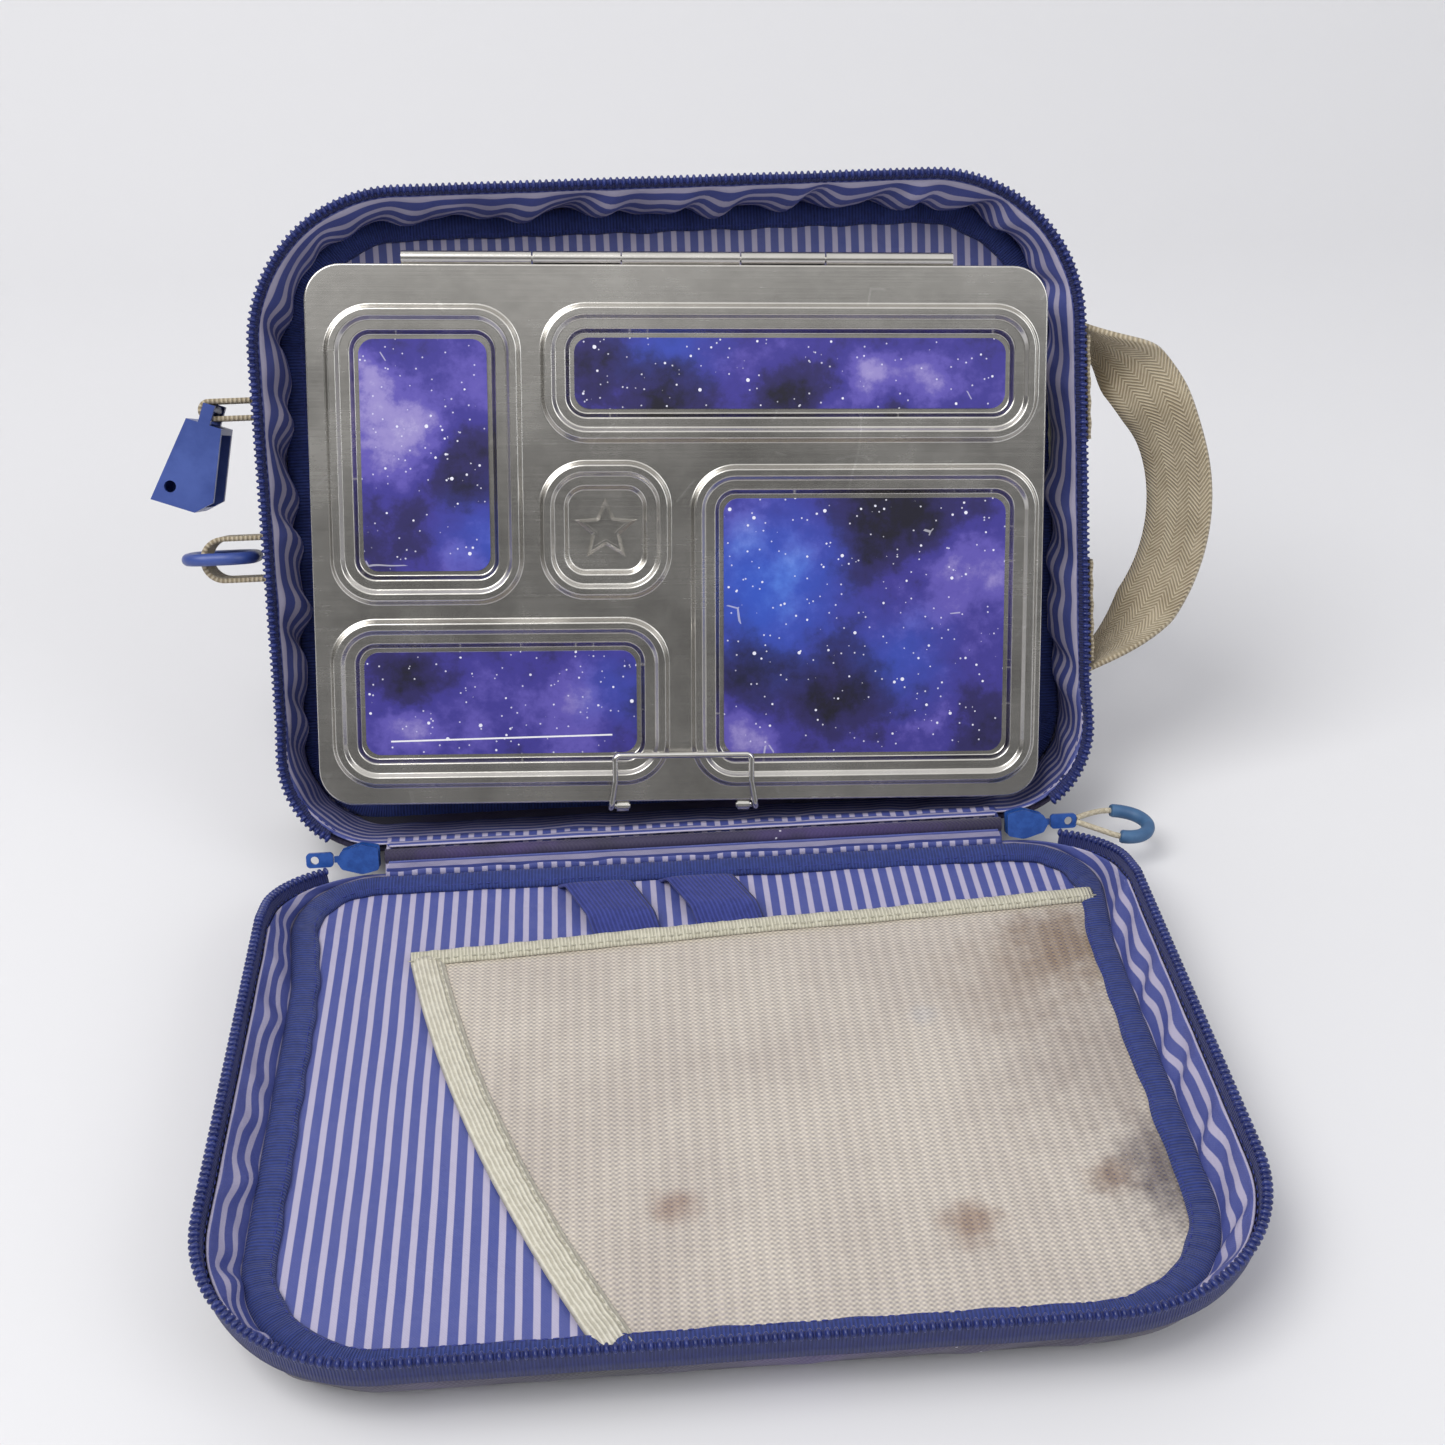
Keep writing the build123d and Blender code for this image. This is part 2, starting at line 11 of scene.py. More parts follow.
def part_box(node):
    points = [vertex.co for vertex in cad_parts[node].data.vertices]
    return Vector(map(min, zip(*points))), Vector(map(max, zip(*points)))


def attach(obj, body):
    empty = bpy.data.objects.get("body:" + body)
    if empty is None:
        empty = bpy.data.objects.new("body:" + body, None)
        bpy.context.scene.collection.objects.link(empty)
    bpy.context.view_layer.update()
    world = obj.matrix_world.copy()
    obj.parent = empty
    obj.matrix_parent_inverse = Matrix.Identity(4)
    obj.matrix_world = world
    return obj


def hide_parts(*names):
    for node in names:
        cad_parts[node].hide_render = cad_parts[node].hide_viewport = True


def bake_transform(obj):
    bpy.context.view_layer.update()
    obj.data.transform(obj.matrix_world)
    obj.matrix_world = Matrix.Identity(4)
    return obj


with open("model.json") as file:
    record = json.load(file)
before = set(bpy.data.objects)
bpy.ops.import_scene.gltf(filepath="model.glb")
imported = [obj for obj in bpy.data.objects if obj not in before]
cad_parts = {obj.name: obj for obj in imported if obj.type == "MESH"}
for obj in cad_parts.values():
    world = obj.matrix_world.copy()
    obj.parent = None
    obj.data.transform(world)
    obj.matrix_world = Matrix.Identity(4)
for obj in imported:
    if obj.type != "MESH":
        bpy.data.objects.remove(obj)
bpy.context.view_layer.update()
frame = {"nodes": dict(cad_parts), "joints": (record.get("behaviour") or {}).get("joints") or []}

# ---- The set
# A pale table that runs up into a backdrop, one large soft light high on the left, one fill on the right,
# and a camera that looks down on the open bag from the front.

eye_target = Vector((0.0089, 0.100, 0.0668))
eye_distance = 0.605
eye_height = radians(32.3)
eye_turn = radians(-3.9)
eye_roll = radians(0.75)

camera = bpy.data.objects.new("camera", bpy.data.cameras.new("camera"))
bpy.context.collection.objects.link(camera)
camera.data.sensor_width = 36
camera.data.lens = 47.3
sight = Vector((-sin(eye_turn) * cos(eye_height), cos(eye_turn) * cos(eye_height), -sin(eye_height)))
camera.location = eye_target - sight * eye_distance
camera.rotation_mode = "QUATERNION"
roll = Matrix.Rotation(-eye_roll, 3, "Z").to_quaternion()
camera.rotation_quaternion = sight.to_track_quat("-Z", "Y") @ roll
bpy.context.scene.camera = camera
bpy.context.scene.view_settings.view_transform = "Standard"

table_front, table_back, sweep_radius, backdrop_height, table_half = -2.2, 0.75, 0.5, 2.6, 2.4
table_mesh = bpy.data.meshes.new("table")
sweep_back = [(table_front, 0.0), (table_back, 0.0)]
sweep_back += [(table_back + sweep_radius * sin(a), sweep_radius - sweep_radius * cos(a))
               for a in np.linspace(0.1, pi / 2, 12)]
sweep_back += [(table_back + sweep_radius, backdrop_height)]
table_points = [(x, y, z) for y, z in sweep_back for x in (-table_half, table_half)]
table_faces = [(2 * k, 2 * k + 1, 2 * k + 3, 2 * k + 2) for k in range(len(sweep_back) - 1)]
table_mesh.from_pydata(table_points, [], table_faces)
table_mesh.polygons.foreach_set("use_smooth", [True] * len(table_faces))
table = bpy.data.objects.new("table", table_mesh)
bpy.context.collection.objects.link(table)

cloth_white = bpy.data.materials.new("table cloth")
cloth_white.use_nodes = True
cloth_shader = cloth_white.node_tree.nodes["Principled BSDF"]
cloth_shader.inputs["Base Color"].default_value = (0.74, 0.74, 0.76, 1)
cloth_shader.inputs["Roughness"].default_value = 0.9
table_mesh.materials.append(cloth_white)


def soft_light(name, place, size, power, colour):
    """A large square lamp that faces the bag."""
    lamp = bpy.data.lights.new(name, "AREA")
    lamp.size = size
    lamp.energy = power
    lamp.color = colour
    holder = bpy.data.objects.new(name, lamp)
    holder.location = place
    holder.rotation_euler = (eye_target - Vector(place)).to_track_quat("-Z", "Y").to_euler()
    bpy.context.collection.objects.link(holder)


soft_light("window light", (-0.9, -0.5, 1.7), 1.3, 26, (1.0, 0.99, 0.97))
soft_light("fill light", (1.3, -0.9, 1.1), 1.0, 7, (0.96, 0.98, 1.0))

colour_a, colour_b, colour_out = 6, 7, 2  # a Mix node's two colour inputs and its colour output
room = bpy.data.worlds.new("room")
bpy.context.scene.world = room
room.use_nodes = True
room_nodes, room_links = room.node_tree.nodes, room.node_tree.links
room_nodes.clear()
direction = room_nodes.new("ShaderNodeTexCoord")
split_direction = room_nodes.new("ShaderNodeSeparateXYZ")
room_ramp = room_nodes.new("ShaderNodeValToRGB")
room_grey = (0.56, 0.56, 0.57, 1)
room_stops = ((0.0, 0.48), (0.16, 0.36), (0.25, 0.09), (0.40, 0.06), (0.48, 0.40), (0.58, 1.0), (1.0, 1.0))
for k, (place, shade) in enumerate(room_stops):
    stop = room_ramp.color_ramp.elements[k] if k < 2 else room_ramp.color_ramp.elements.new(place)
    stop.position = place
    stop.color = (shade, shade * 0.99, shade * 0.97, 1)
ray = room_nodes.new("ShaderNodeLightPath")
seen = room_nodes.new("ShaderNodeMix")
seen.data_type = "RGBA"
seen.inputs[colour_a].default_value = room_grey
background = room_nodes.new("ShaderNodeBackground")
background.inputs["Strength"].default_value = 1.0
room_out = room_nodes.new("ShaderNodeOutputWorld")
room_links.new(direction.outputs["Generated"], split_direction.inputs[0])
room_links.new(split_direction.outputs["Z"], room_ramp.inputs["Fac"])
room_links.new(ray.outputs["Is Glossy Ray"], seen.inputs["Factor"])
room_links.new(room_ramp.outputs["Color"], seen.inputs[colour_b])
room_links.new(seen.outputs[colour_out], background.inputs["Color"])
room_links.new(background.outputs[0], room_out.inputs["Surface"])

# ---- Pull cord and grip
# A thin beige cord is knotted through the eye of the right zipper pull, and both its ends go back into the
# eye. A soft rubber tube covers its outer half and is the finger grip.

cord_diameter = 0.002
grip_radius = 0.0023
grip_from, grip_to, grip_sides, grip_lip = 0.20, 0.80, 14, 0.86
tab_low, tab_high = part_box("pull_tab_right")
cord_start = Vector((tab_high.x, (tab_low.y + tab_high.y) / 2, (tab_low.z + tab_high.z) / 2))
cord_route = ((0.0, 1.1, 0.0), (7.0, 5.6, -1.0), (14.5, 8.0, -2.2), (22.5, 5.6, -2.9), (25.8, -1.0, -3.0),
              (22.0, -7.6, -2.7), (14.0, -8.8, -2.0), (6.8, -4.6, -1.0), (0.0, -1.1, 0.0))
cord_points = [cord_start + Vector(point) / 1000 for point in cord_route]


def new_object(name, data):
    made = bpy.data.objects.new(name, data)
    bpy.context.collection.objects.link(made)
    return made


def smooth_curve(name, points, radius):
    """A round cord along one smooth line."""
    line = bpy.data.curves.new(name, "CURVE")
    line.dimensions = "3D"
    line.bevel_depth = radius
    line.bevel_resolution = 3
    line.resolution_u = 10
    line.use_fill_caps = True
    spline = line.splines.new("NURBS")
    spline.points.add(len(points) - 1)
    for control, point in zip(spline.points, points):
        control.co = (*point, 1)
    spline.order_u = 3
    spline.use_endpoint_u = True
    return new_object(name, line)


def centre_line(curve):
    """The points of a curve's own line, with no thickness."""
    bevel = curve.data.bevel_depth
    curve.data.bevel_depth = 0
    bpy.context.view_layer.update()
    seen_curve = curve.evaluated_get(bpy.context.evaluated_depsgraph_get())
    line = bpy.data.meshes.new_from_object(seen_curve)
    points = [vertex.co.copy() for vertex in line.vertices]
    bpy.data.meshes.remove(line)
    curve.data.bevel_depth = bevel
    return points


def new_material(name):
    """A material with its Principled shader, node list and link list."""
    material = bpy.data.materials.new(name)
    material.use_nodes = True
    tree = material.node_tree
    return material, tree.nodes["Principled BSDF"], tree.nodes, tree.links


def rgba(colour):
    return (*colour, 1.0)


def add_node(nodes, kind, **settings):
    """A shader or geometry node, with its properties and its inputs set by name."""
    node = nodes.new(kind)
    for key, value in settings.items():
        if hasattr(node, key):
            setattr(node, key, value)
        else:
            node.inputs[key.replace("_", " ")].default_value = value
    return node


def math_node(nodes, links, operation, first, second=0.5, third=None):
    """A Math node whose inputs are sockets or numbers."""
    node = nodes.new("ShaderNodeMath")
    node.operation = operation
    for slot_index, value in enumerate((first, second, third)):
        if value is None:
            continue
        if isinstance(value, bpy.types.NodeSocket):
            links.new(value, node.inputs[slot_index])
        else:
            node.inputs[slot_index].default_value = value
    return node.outputs[0]


def colour_ramp(nodes, links, source, stops, smooth=True):
    """A ramp of (place, colour) stops on a value."""
    ramp = nodes.new("ShaderNodeValToRGB")
    ramp.color_ramp.interpolation = "EASE" if smooth else "LINEAR"
    for k, (place, colour) in enumerate(stops):
        elements = ramp.color_ramp.elements
        stop = elements[k] if k < 2 else elements.new(place)
        stop.position = place
        stop.color = rgba(colour)
    links.new(source, ramp.inputs["Fac"])
    return ramp.outputs["Color"]


def mix_colour(nodes, links, share, first, second, blend="MIX"):
    """Mixes two colours, each a socket or a colour, by a socket or a number."""
    node = nodes.new("ShaderNodeMix")
    node.data_type = "RGBA"
    node.blend_type = blend
    for key, value in (("Factor", share), (colour_a, first), (colour_b, second)):
        socket = node.inputs[key]
        if isinstance(value, bpy.types.NodeSocket):
            links.new(value, socket)
        else:
            socket.default_value = value if isinstance(value, float) else rgba(value)
    return node.outputs[colour_out]


def noise_value(nodes, links, vector, scale, detail=3.0, rough=0.55):
    texture = nodes.new("ShaderNodeTexNoise")
    texture.inputs["Scale"].default_value = scale
    texture.inputs["Detail"].default_value = detail
    texture.inputs["Roughness"].default_value = rough
    links.new(vector, texture.inputs["Vector"])
    return texture.outputs["Fac"]


def add_bump(nodes, links, shader, height, depth, strength=1.0, under=None):
    """A bump of a given depth in metres, on top of another if one is given."""
    bump = nodes.new("ShaderNodeBump")
    bump.inputs["Distance"].default_value = depth
    bump.inputs["Strength"].default_value = strength
    links.new(height, bump.inputs["Height"])
    if under is not None:
        links.new(under, bump.inputs["Normal"])
    links.new(bump.outputs[0], shader.inputs["Normal"])
    return bump.outputs[0]


def make_weave_group():
    """Over and under threads of a plain weave, as a height, from a position along and across the cloth."""
    group = bpy.data.node_groups.new("Plain weave", "ShaderNodeTree")
    group.interface.new_socket("Place", in_out="INPUT", socket_type="NodeSocketVector")
    group.interface.new_socket("Thread Pitch", in_out="INPUT", socket_type="NodeSocketFloat")
    group.interface.new_socket("Height", in_out="OUTPUT", socket_type="NodeSocketFloat")
    nodes, links = group.nodes, group.links
    given, result = nodes.new("NodeGroupInput"), nodes.new("NodeGroupOutput")
    split = nodes.new("ShaderNodeSeparateXYZ")
    links.new(given.outputs["Place"], split.inputs[0])
    turns = math_node(nodes, links, "DIVIDE", pi, given.outputs["Thread Pitch"])
    waves = []
    for axis in ("X", "Y"):
        angle = math_node(nodes, links, "MULTIPLY", split.outputs[axis], turns)
        waves.append(math_node(nodes, links, "SINE", angle))
    product = math_node(nodes, links, "MULTIPLY", waves[0], waves[1])
    height = math_node(nodes, links, "MULTIPLY_ADD", product, 0.5, 0.5)
    links.new(height, result.inputs["Height"])
    return group


def make_rib_group():
    """Ribs across a tape, as a height, from the distance along it."""
    group = bpy.data.node_groups.new("Tape ribs", "ShaderNodeTree")
    group.interface.new_socket("Along", in_out="INPUT", socket_type="NodeSocketFloat")
    group.interface.new_socket("Rib Pitch", in_out="INPUT", socket_type="NodeSocketFloat")
    group.interface.new_socket("Height", in_out="OUTPUT", socket_type="NodeSocketFloat")
    nodes, links = group.nodes, group.links
    given, result = nodes.new("NodeGroupInput"), nodes.new("NodeGroupOutput")
    turns = math_node(nodes, links, "DIVIDE", tau, given.outputs["Rib Pitch"])
    wave = math_node(nodes, links, "SINE", math_node(nodes, links, "MULTIPLY", given.outputs["Along"], turns))
    links.new(math_node(nodes, links, "MULTIPLY_ADD", wave, 0.5, 0.5), result.inputs["Height"])
    return group


weave_group = make_weave_group()
rib_group = make_rib_group()


def weave_height(nodes, links, place, pitch):
    use = nodes.new("ShaderNodeGroup")
    use.node_tree = weave_group
    use.inputs["Thread Pitch"].default_value = pitch
    links.new(place, use.inputs["Place"])
    return use.outputs["Height"]


def rib_height(nodes, links, along, pitch):
    use = nodes.new("ShaderNodeGroup")
    use.node_tree = rib_group
    use.inputs["Rib Pitch"].default_value = pitch
    links.new(along, use.inputs["Along"])
    return use.outputs["Height"]


def object_place(nodes):
    return nodes.new("ShaderNodeTexCoord").outputs["Object"]


def cloth_place(nodes, links):
    """The piece's own cloth map in metres, and its two parts."""
    uv = nodes.new("ShaderNodeUVMap")
    uv.uv_map = "cloth"
    split = nodes.new("ShaderNodeSeparateXYZ")
    links.new(uv.outputs[0], split.inputs[0])
    return uv.outputs[0], split.outputs["X"], split.outputs["Y"]


def make_cord_material():
    material, shader, nodes, links = new_material("beige cord")
    place = object_place(nodes)
    fleck = noise_value(nodes, links, place, 900)
    links.new(colour_ramp(nodes, links, fleck, [(0.3, (0.44, 0.38, 0.27)), (0.7, (0.60, 0.54, 0.42))]),
              shader.inputs["Base Color"])
    shader.inputs["Roughness"].default_value = 0.9
    add_bump(nodes, links, shader, weave_height(nodes, links, place, 0.0005), 0.0002)
    return material


cord = smooth_curve("pull_cord_loop", cord_points, cord_diameter / 2)
cord.data.materials.append(make_cord_material())
cord_line = centre_line(cord)


def make_grip_material():
    material, shader, nodes, links = new_material("grip rubber")
    place = object_place(nodes)
    dust = noise_value(nodes, links, place, 160)
    links.new(colour_ramp(nodes, links, dust, [(0.35, (0.035, 0.10, 0.22)), (0.75, (0.055, 0.14, 0.28))]),
              shader.inputs["Base Color"])
    shader.inputs["Roughness"].default_value = 0.55
    add_bump(nodes, links, shader, noise_value(nodes, links, place, 1400), 0.00005)
    return material


def make_grip():
    """The rubber tube over the outer part of the cord's line, with rolled ends."""
    count = len(cord_line)
    covered = cord_line[int(count * grip_from):int(count * grip_to)]
    rings = []
    for k, point in enumerate(covered):
        before, after = covered[max(k - 1, 0)], covered[min(k + 1, len(covered) - 1)]
        along = (after - before).normalized()
        across = along.cross(Vector((0, 0, 1))).normalized()
        over = across.cross(along)
        edge = min(k, len(covered) - 1 - k)
        radius = grip_radius * (grip_lip if edge == 0 else 1.0)
        rings.append([point + (across * cos(a) + over * sin(a)) * radius
                      for a in np.linspace(0, tau, grip_sides, endpoint=False)])
    mesh = bmesh.new()
    rows = [[mesh.verts.new(p) for p in ring] for ring in rings]
    for low, high in zip(rows, rows[1:]):
        for k in range(grip_sides):
            mesh.faces.new((low[k], low[(k + 1) % grip_sides], high[(k + 1) % grip_sides], high[k]))
    mesh.faces.new(rows[0][::-1])
    mesh.faces.new(rows[-1])
    bmesh.ops.recalc_face_normals(mesh, faces=mesh.faces)
    data = bpy.data.meshes.new("rubber_grip")
    mesh.to_mesh(data)
    mesh.free()
    data.polygons.foreach_set("use_smooth", [len(face.vertices) == 4 for face in data.polygons])
    return new_object("rubber_grip", data)


grip = make_grip()
grip.data.materials.append(make_grip_material())
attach(cord, "right_pull")
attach(grip, "right_pull")
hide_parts("pull_cord")
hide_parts("cord_grip")

# ---- Outer shell of the two halves
# Printed polyester on foam: a padded panel at the back or front and a soft side wall, called the gusset,
# sewn to it all round. The back half has sagged on to the table along its bottom edge.

joints = {joint["name"]: joint for joint in frame["joints"]}
hinge = Vector(joints["cover_hinge"]["pos_m"])
outward = Vector(joints["box_slide"]["axis"]).normalized()
upward = Vector((0, outward.z, -outward.y))
panel_low, panel_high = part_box("front_panel")
half_width = (panel_high.x - panel_low.x) / 2
bag_height = hinge.y - panel_low.y
near_radius = 0.034
far_radius = 0.052
hinge_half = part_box("hinge_strip")[1].x
zip_rise = 0.013
dip_run = 0.045
front_outer = hinge.z
back_outer = 0.054
front_pad = 0.006
back_pad = 0.008
back_lean, front_lean = 0.004, 0.014
hinge_zone, loose_from = 0.03, 0.06
gusset_wall = 0.0022
lining_wall = 0.0016
tape_width = 0.010
inner_inset = gusset_wall + lining_wall

back_place = Matrix((
    (1, upward.x, outward.x, hinge.x),
    (0, upward.y, outward.y, hinge.y),
    (0, upward.z, outward.z, hinge.z),
    (0, 0, 0, 1),
))
front_place = Matrix(((1, 0, 0, 0), (0, -1, 0, hinge.y), (0, 0, 1, hinge.z), (0, 0, 0, 1)))


def outline_table():
    """Points and outward directions round the edge of a half, from the middle of the hinge side by +X."""
    corners = ((half_width - near_radius, near_radius, near_radius, -90),
               (half_width - far_radius, bag_height - far_radius, far_radius, 0),
               (far_radius - half_width, bag_height - far_radius, far_radius, 90),
               (near_radius - half_width, near_radius, near_radius, 180))
    rows = [(0, 0, 0, -1)]
    for across, up, radius, first in corners:
        for angle in np.radians(np.linspace(first, first + 90, 25)):
            rows.append((across + radius * cos(angle), up + radius * sin(angle), cos(angle), sin(angle)))
    rows.append((0, 0, 0, -1))
    rows = np.array(rows)
    steps = np.hypot(*(rows[1:, :2] - rows[:-1, :2]).T)
    return np.concatenate([[0], np.cumsum(steps)]), rows


edge_length, edge_rows = outline_table()
edge_total = edge_length[-1]


def edge_at(distance, inset):
    """Where a line drawn in from the edge by an inset is, at a distance round it. Works on arrays."""
    wrapped = np.mod(distance, edge_total)
    across, up, out_x, out_y = (np.interp(wrapped, edge_length, column) for column in edge_rows.T)
    return across - out_x * inset, up - out_y * inset


def zip_line(up, rise):
    """Height of the zipper line: level, then down to the hinge."""
    return rise * np.clip(up / dip_run, 0, 1)


def ripple(distance, seed, lengths=(0.083, 0.047, 0.029), weights=(1.0, 0.7, 0.45)):
    """A smooth uneven wave round the edge, the same at both ends."""
    total = np.zeros_like(distance)
    for k, (length, weight) in enumerate(zip(lengths, weights)):
        turns = max(1, round(edge_total / length))
        total += weight * np.sin(tau * turns * distance / edge_total + 1.7 * seed + 2.3 * k)
        total += 0.5 * weight * np.sin(tau * (turns + 3) * distance / edge_total + 0.9 * seed - 1.1 * k)
    return total / sum(weights)


def set_in_place(name, mesh, place):
    """Moves a mesh to its half of the bag, keeping its faces outwards where that half is mirrored."""
    mesh.transform(place)
    if place.determinant() < 0:
        mesh.flip_normals()
    return new_object(name, mesh)


def grid_mesh(name, points, cloth, place, closed=False, wrap=(0.0, 0.0)):
    """A mesh from rows of points, with its cloth map in metres. closed joins each row's ends."""
    rows, columns = points.shape[:2]
    faces, corners = [], []
    for r in range(rows - 1):
        for c in range(columns if closed else columns - 1):
            n = (c + 1) % columns
            square = ((r, c, 0), (r, n, n == 0), (r + 1, n, n == 0), (r + 1, c, 0))
            faces.append([a * columns + b for a, b, _ in square])
            corners += [(cloth[a, b, 0] + w * wrap[0], cloth[a, b, 1] + w * wrap[1]) for a, b, w in square]
    mesh = bpy.data.meshes.new(name)
    mesh.from_pydata(points.reshape(-1, 3).tolist(), [], faces)
    layer = mesh.uv_layers.new(name="cloth")
    layer.data.foreach_set("uv", np.array(corners, np.float32).ravel())
    mesh.polygons.foreach_set("use_smooth", [True] * len(faces))
    return set_in_place(name, mesh, place)


def thicken(piece, wall, middle=0.0):
    """Gives a sheet of cloth its thickness."""
    solidify = piece.modifiers.new("thickness", "SOLIDIFY")
    solidify.thickness = wall
    solidify.offset = middle
    return piece


def finish_soft(piece, body, slot, *nodes):
    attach(piece, body)
    if nodes:
        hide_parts(*nodes)


def make_outer_material():
    """Night-sky print on a plain weave, faded and a little dusty."""
    material, shader, nodes, links = new_material("printed outer fabric")
    place = object_place(nodes)
    cloud = noise_value(nodes, links, place, 9, 5, 0.6)
    base = colour_ramp(nodes, links, cloud, [(0.36, (0.006, 0.006, 0.018)), (0.50, (0.018, 0.011, 0.055)),
                                            (0.60, (0.042, 0.021, 0.125)), (0.72, (0.018, 0.032, 0.160))])
    dots = add_node(nodes, "ShaderNodeTexVoronoi", Scale=190.0)
    links.new(place, dots.inputs["Vector"])
    near = math_node(nodes, links, "LESS_THAN", dots.outputs["Distance"], 0.075)
    rare = math_node(nodes, links, "GREATER_THAN", noise_value(nodes, links, place, 140, 1), 0.56)
    lit = math_node(nodes, links, "MULTIPLY", near, rare)
    coloured = mix_colour(nodes, links, lit, base, (0.55, 0.52, 0.62))
    dust = math_node(nodes, links, "MULTIPLY", noise_value(nodes, links, place, 34, 6, 0.7), 0.10)
    links.new(mix_colour(nodes, links, dust, coloured, (0.30, 0.28, 0.32)), shader.inputs["Base Color"])
    shader.inputs["Roughness"].default_value = 0.72
    shader.inputs["Sheen Weight"].default_value = 0.15
    add_bump(nodes, links, shader, weave_height(nodes, links, place, 0.0007), 0.00012)
    return material


outer_material = make_outer_material()


def above_table(points, gap=0.0004):
    """Keeps a surface of the back half on the table where its shape would go below."""
    turn, shift = np.array(back_place)[:3, :3], np.array(back_place)[:3, 3]
    world = points @ turn.T + shift
    world[..., 2] = np.maximum(world[..., 2], gap)
    return (world - shift) @ turn


def lean_in(height, up, rise, outer, amount):
    """How far a side wall leans in below the zipper: nothing at the rim, the full amount at the table."""
    depth = np.clip((rise - height) / (rise + outer), 0, 1)
    return amount * depth ** 1.6 * np.clip(up / loose_from, 0, 1)


def side_wall(rise, outer, lean, low, inset, under_zip, swell, fold, seed, rows=12):
    """A side wall from the panel's edge up to just under the zipper: points, and distance and height maps.

    swell pushes the middle outwards; fold is the depth of the creases that cross the wall.
    """
    distance = np.linspace(0, edge_total, 560, endpoint=False)
    share = np.linspace(0, 1, rows)[:, None]
    level_x, level_y = edge_at(distance, inset)
    in_hinge = (np.abs(level_x) < hinge_half) & (level_y < hinge_zone)
    top = zip_line(level_y, rise) - np.where(in_hinge, 0.0006, under_zip)
    height = low + (top - low)[None, :] * share
    middle = np.sin(pi * share)
    creases = ripple(distance[None, :] + 0.012 * share, seed, (0.021, 0.034, 0.013))
    free = middle * (0.1 + 0.9 * np.clip(level_y / loose_from, 0, 1))[None, :]
    inward = free * (fold * (0.5 + creases) - swell * (0.7 + 0.3 * ripple(distance, seed))[None, :])
    lift = 0.9 * fold * free * ripple(distance[None, :] - 0.006 * share, seed + 3, (0.026, 0.041, 0.017))
    tilt = lean_in(height, level_y[None, :], rise, outer, lean)
    x, y = edge_at(np.broadcast_to(distance, height.shape), inset + inward + tilt)
    return np.stack([x, y, height + lift], -1), np.broadcast_to(distance, height.shape), height


def flat_rings(shares, level, rise, outer, lean, inset, columns=300):
    """Rings that shrink to the middle of a half from its leaning side wall at a given level."""
    distance = np.linspace(0, edge_total, columns, endpoint=False)
    _, up = edge_at(distance, inset)
    edge_x, edge_y = edge_at(distance, inset + lean_in(level, up, rise, outer, lean))
    keep = 1 - np.array(shares)[:, None]
    return edge_x[None, :] * keep, bag_height / 2 + (edge_y[None, :] - bag_height / 2) * keep


def close_pole(piece):
    """Merges the last ring of a piece, which has no size, into one point."""
    shape = bmesh.new()
    shape.from_mesh(piece.data)
    bmesh.ops.remove_doubles(shape, verts=shape.verts, dist=1e-6)
    shape.to_mesh(piece.data)
    shape.free()


def field(x, y, scale, seed):
    """A smooth uneven field over a flat cloth, about -1 to 1."""
    flat = [noise.noise(Vector((a * scale, b * scale, seed))) for a, b in zip(x.ravel(), y.ravel())]
    return np.array(flat).reshape(x.shape)


halves = (("back", back_place, -zip_rise, back_outer, back_pad, back_lean),
          ("front", front_place, zip_rise, front_outer, front_pad, front_lean))
panel_rim, crease_depth = 0.07, 0.0007
for half, place, rise, outer, pad, lean in halves:
    sag = 0.003 if half == "back" else 0.0008
    points, along, height = side_wall(rise, outer, lean, pad / 2 - outer, gusset_wall / 2,
                                      tape_width - 0.002, sag, 0.0006, 1.0)
    if half == "back":
        points = above_table(points, 0.0012)
    wall = grid_mesh(half + "_side_wall", points, np.stack([along, height], -1), place, True, (edge_total, 0))
    wall.data.materials.append(outer_material)
    thicken(wall, gusset_wall * 0.8)
    finish_soft(wall, "bag_" + half, "outer_fabric", half + "_gusset")

    shares = np.concatenate([[0, 0.004, 0.012, 0.025, 0.045, panel_rim], np.linspace(0.1, 0.98, 21), [1.0]])
    x, y = flat_rings(shares, pad / 2 - outer, rise, outer, lean, 0.0004)
    rim = np.clip(shares / panel_rim, 0, 1)[:, None]
    rounded = 0.5 * pad * (1 - np.sqrt(1 - (1 - rim) ** 2))
    crease = crease_depth * np.clip(shares / 0.1, 0, 1)[:, None] * (0.5 + field(x, y, 26, 4.0 + outer))
    outside = np.stack([x, y, -outer + rounded + crease], -1)
    inside = np.stack([x, y, np.broadcast_to(pad - outer - rounded, x.shape)], -1)
    points = np.concatenate([outside[:0:-1], inside], 0)
    if half == "back":
        points = above_table(points)
    panel = grid_mesh(half + "_padded_panel", points, points[..., :2], place, True)
    close_pole(panel)
    panel.data.materials.append(outer_material)
    finish_soft(panel, "bag_" + half, "outer_fabric", half + "_panel")

# ---- Lining
# Coated fabric with woven stripes, sewn in along the zipper. The stripes run up the flat parts and along
# the side walls, where the coated cloth has crinkled.

stripe_pitch = 0.00465
stripe_blue = (0.045, 0.068, 0.290)
stripe_pale = (0.46, 0.43, 0.58)
cloth_wall = 0.0005


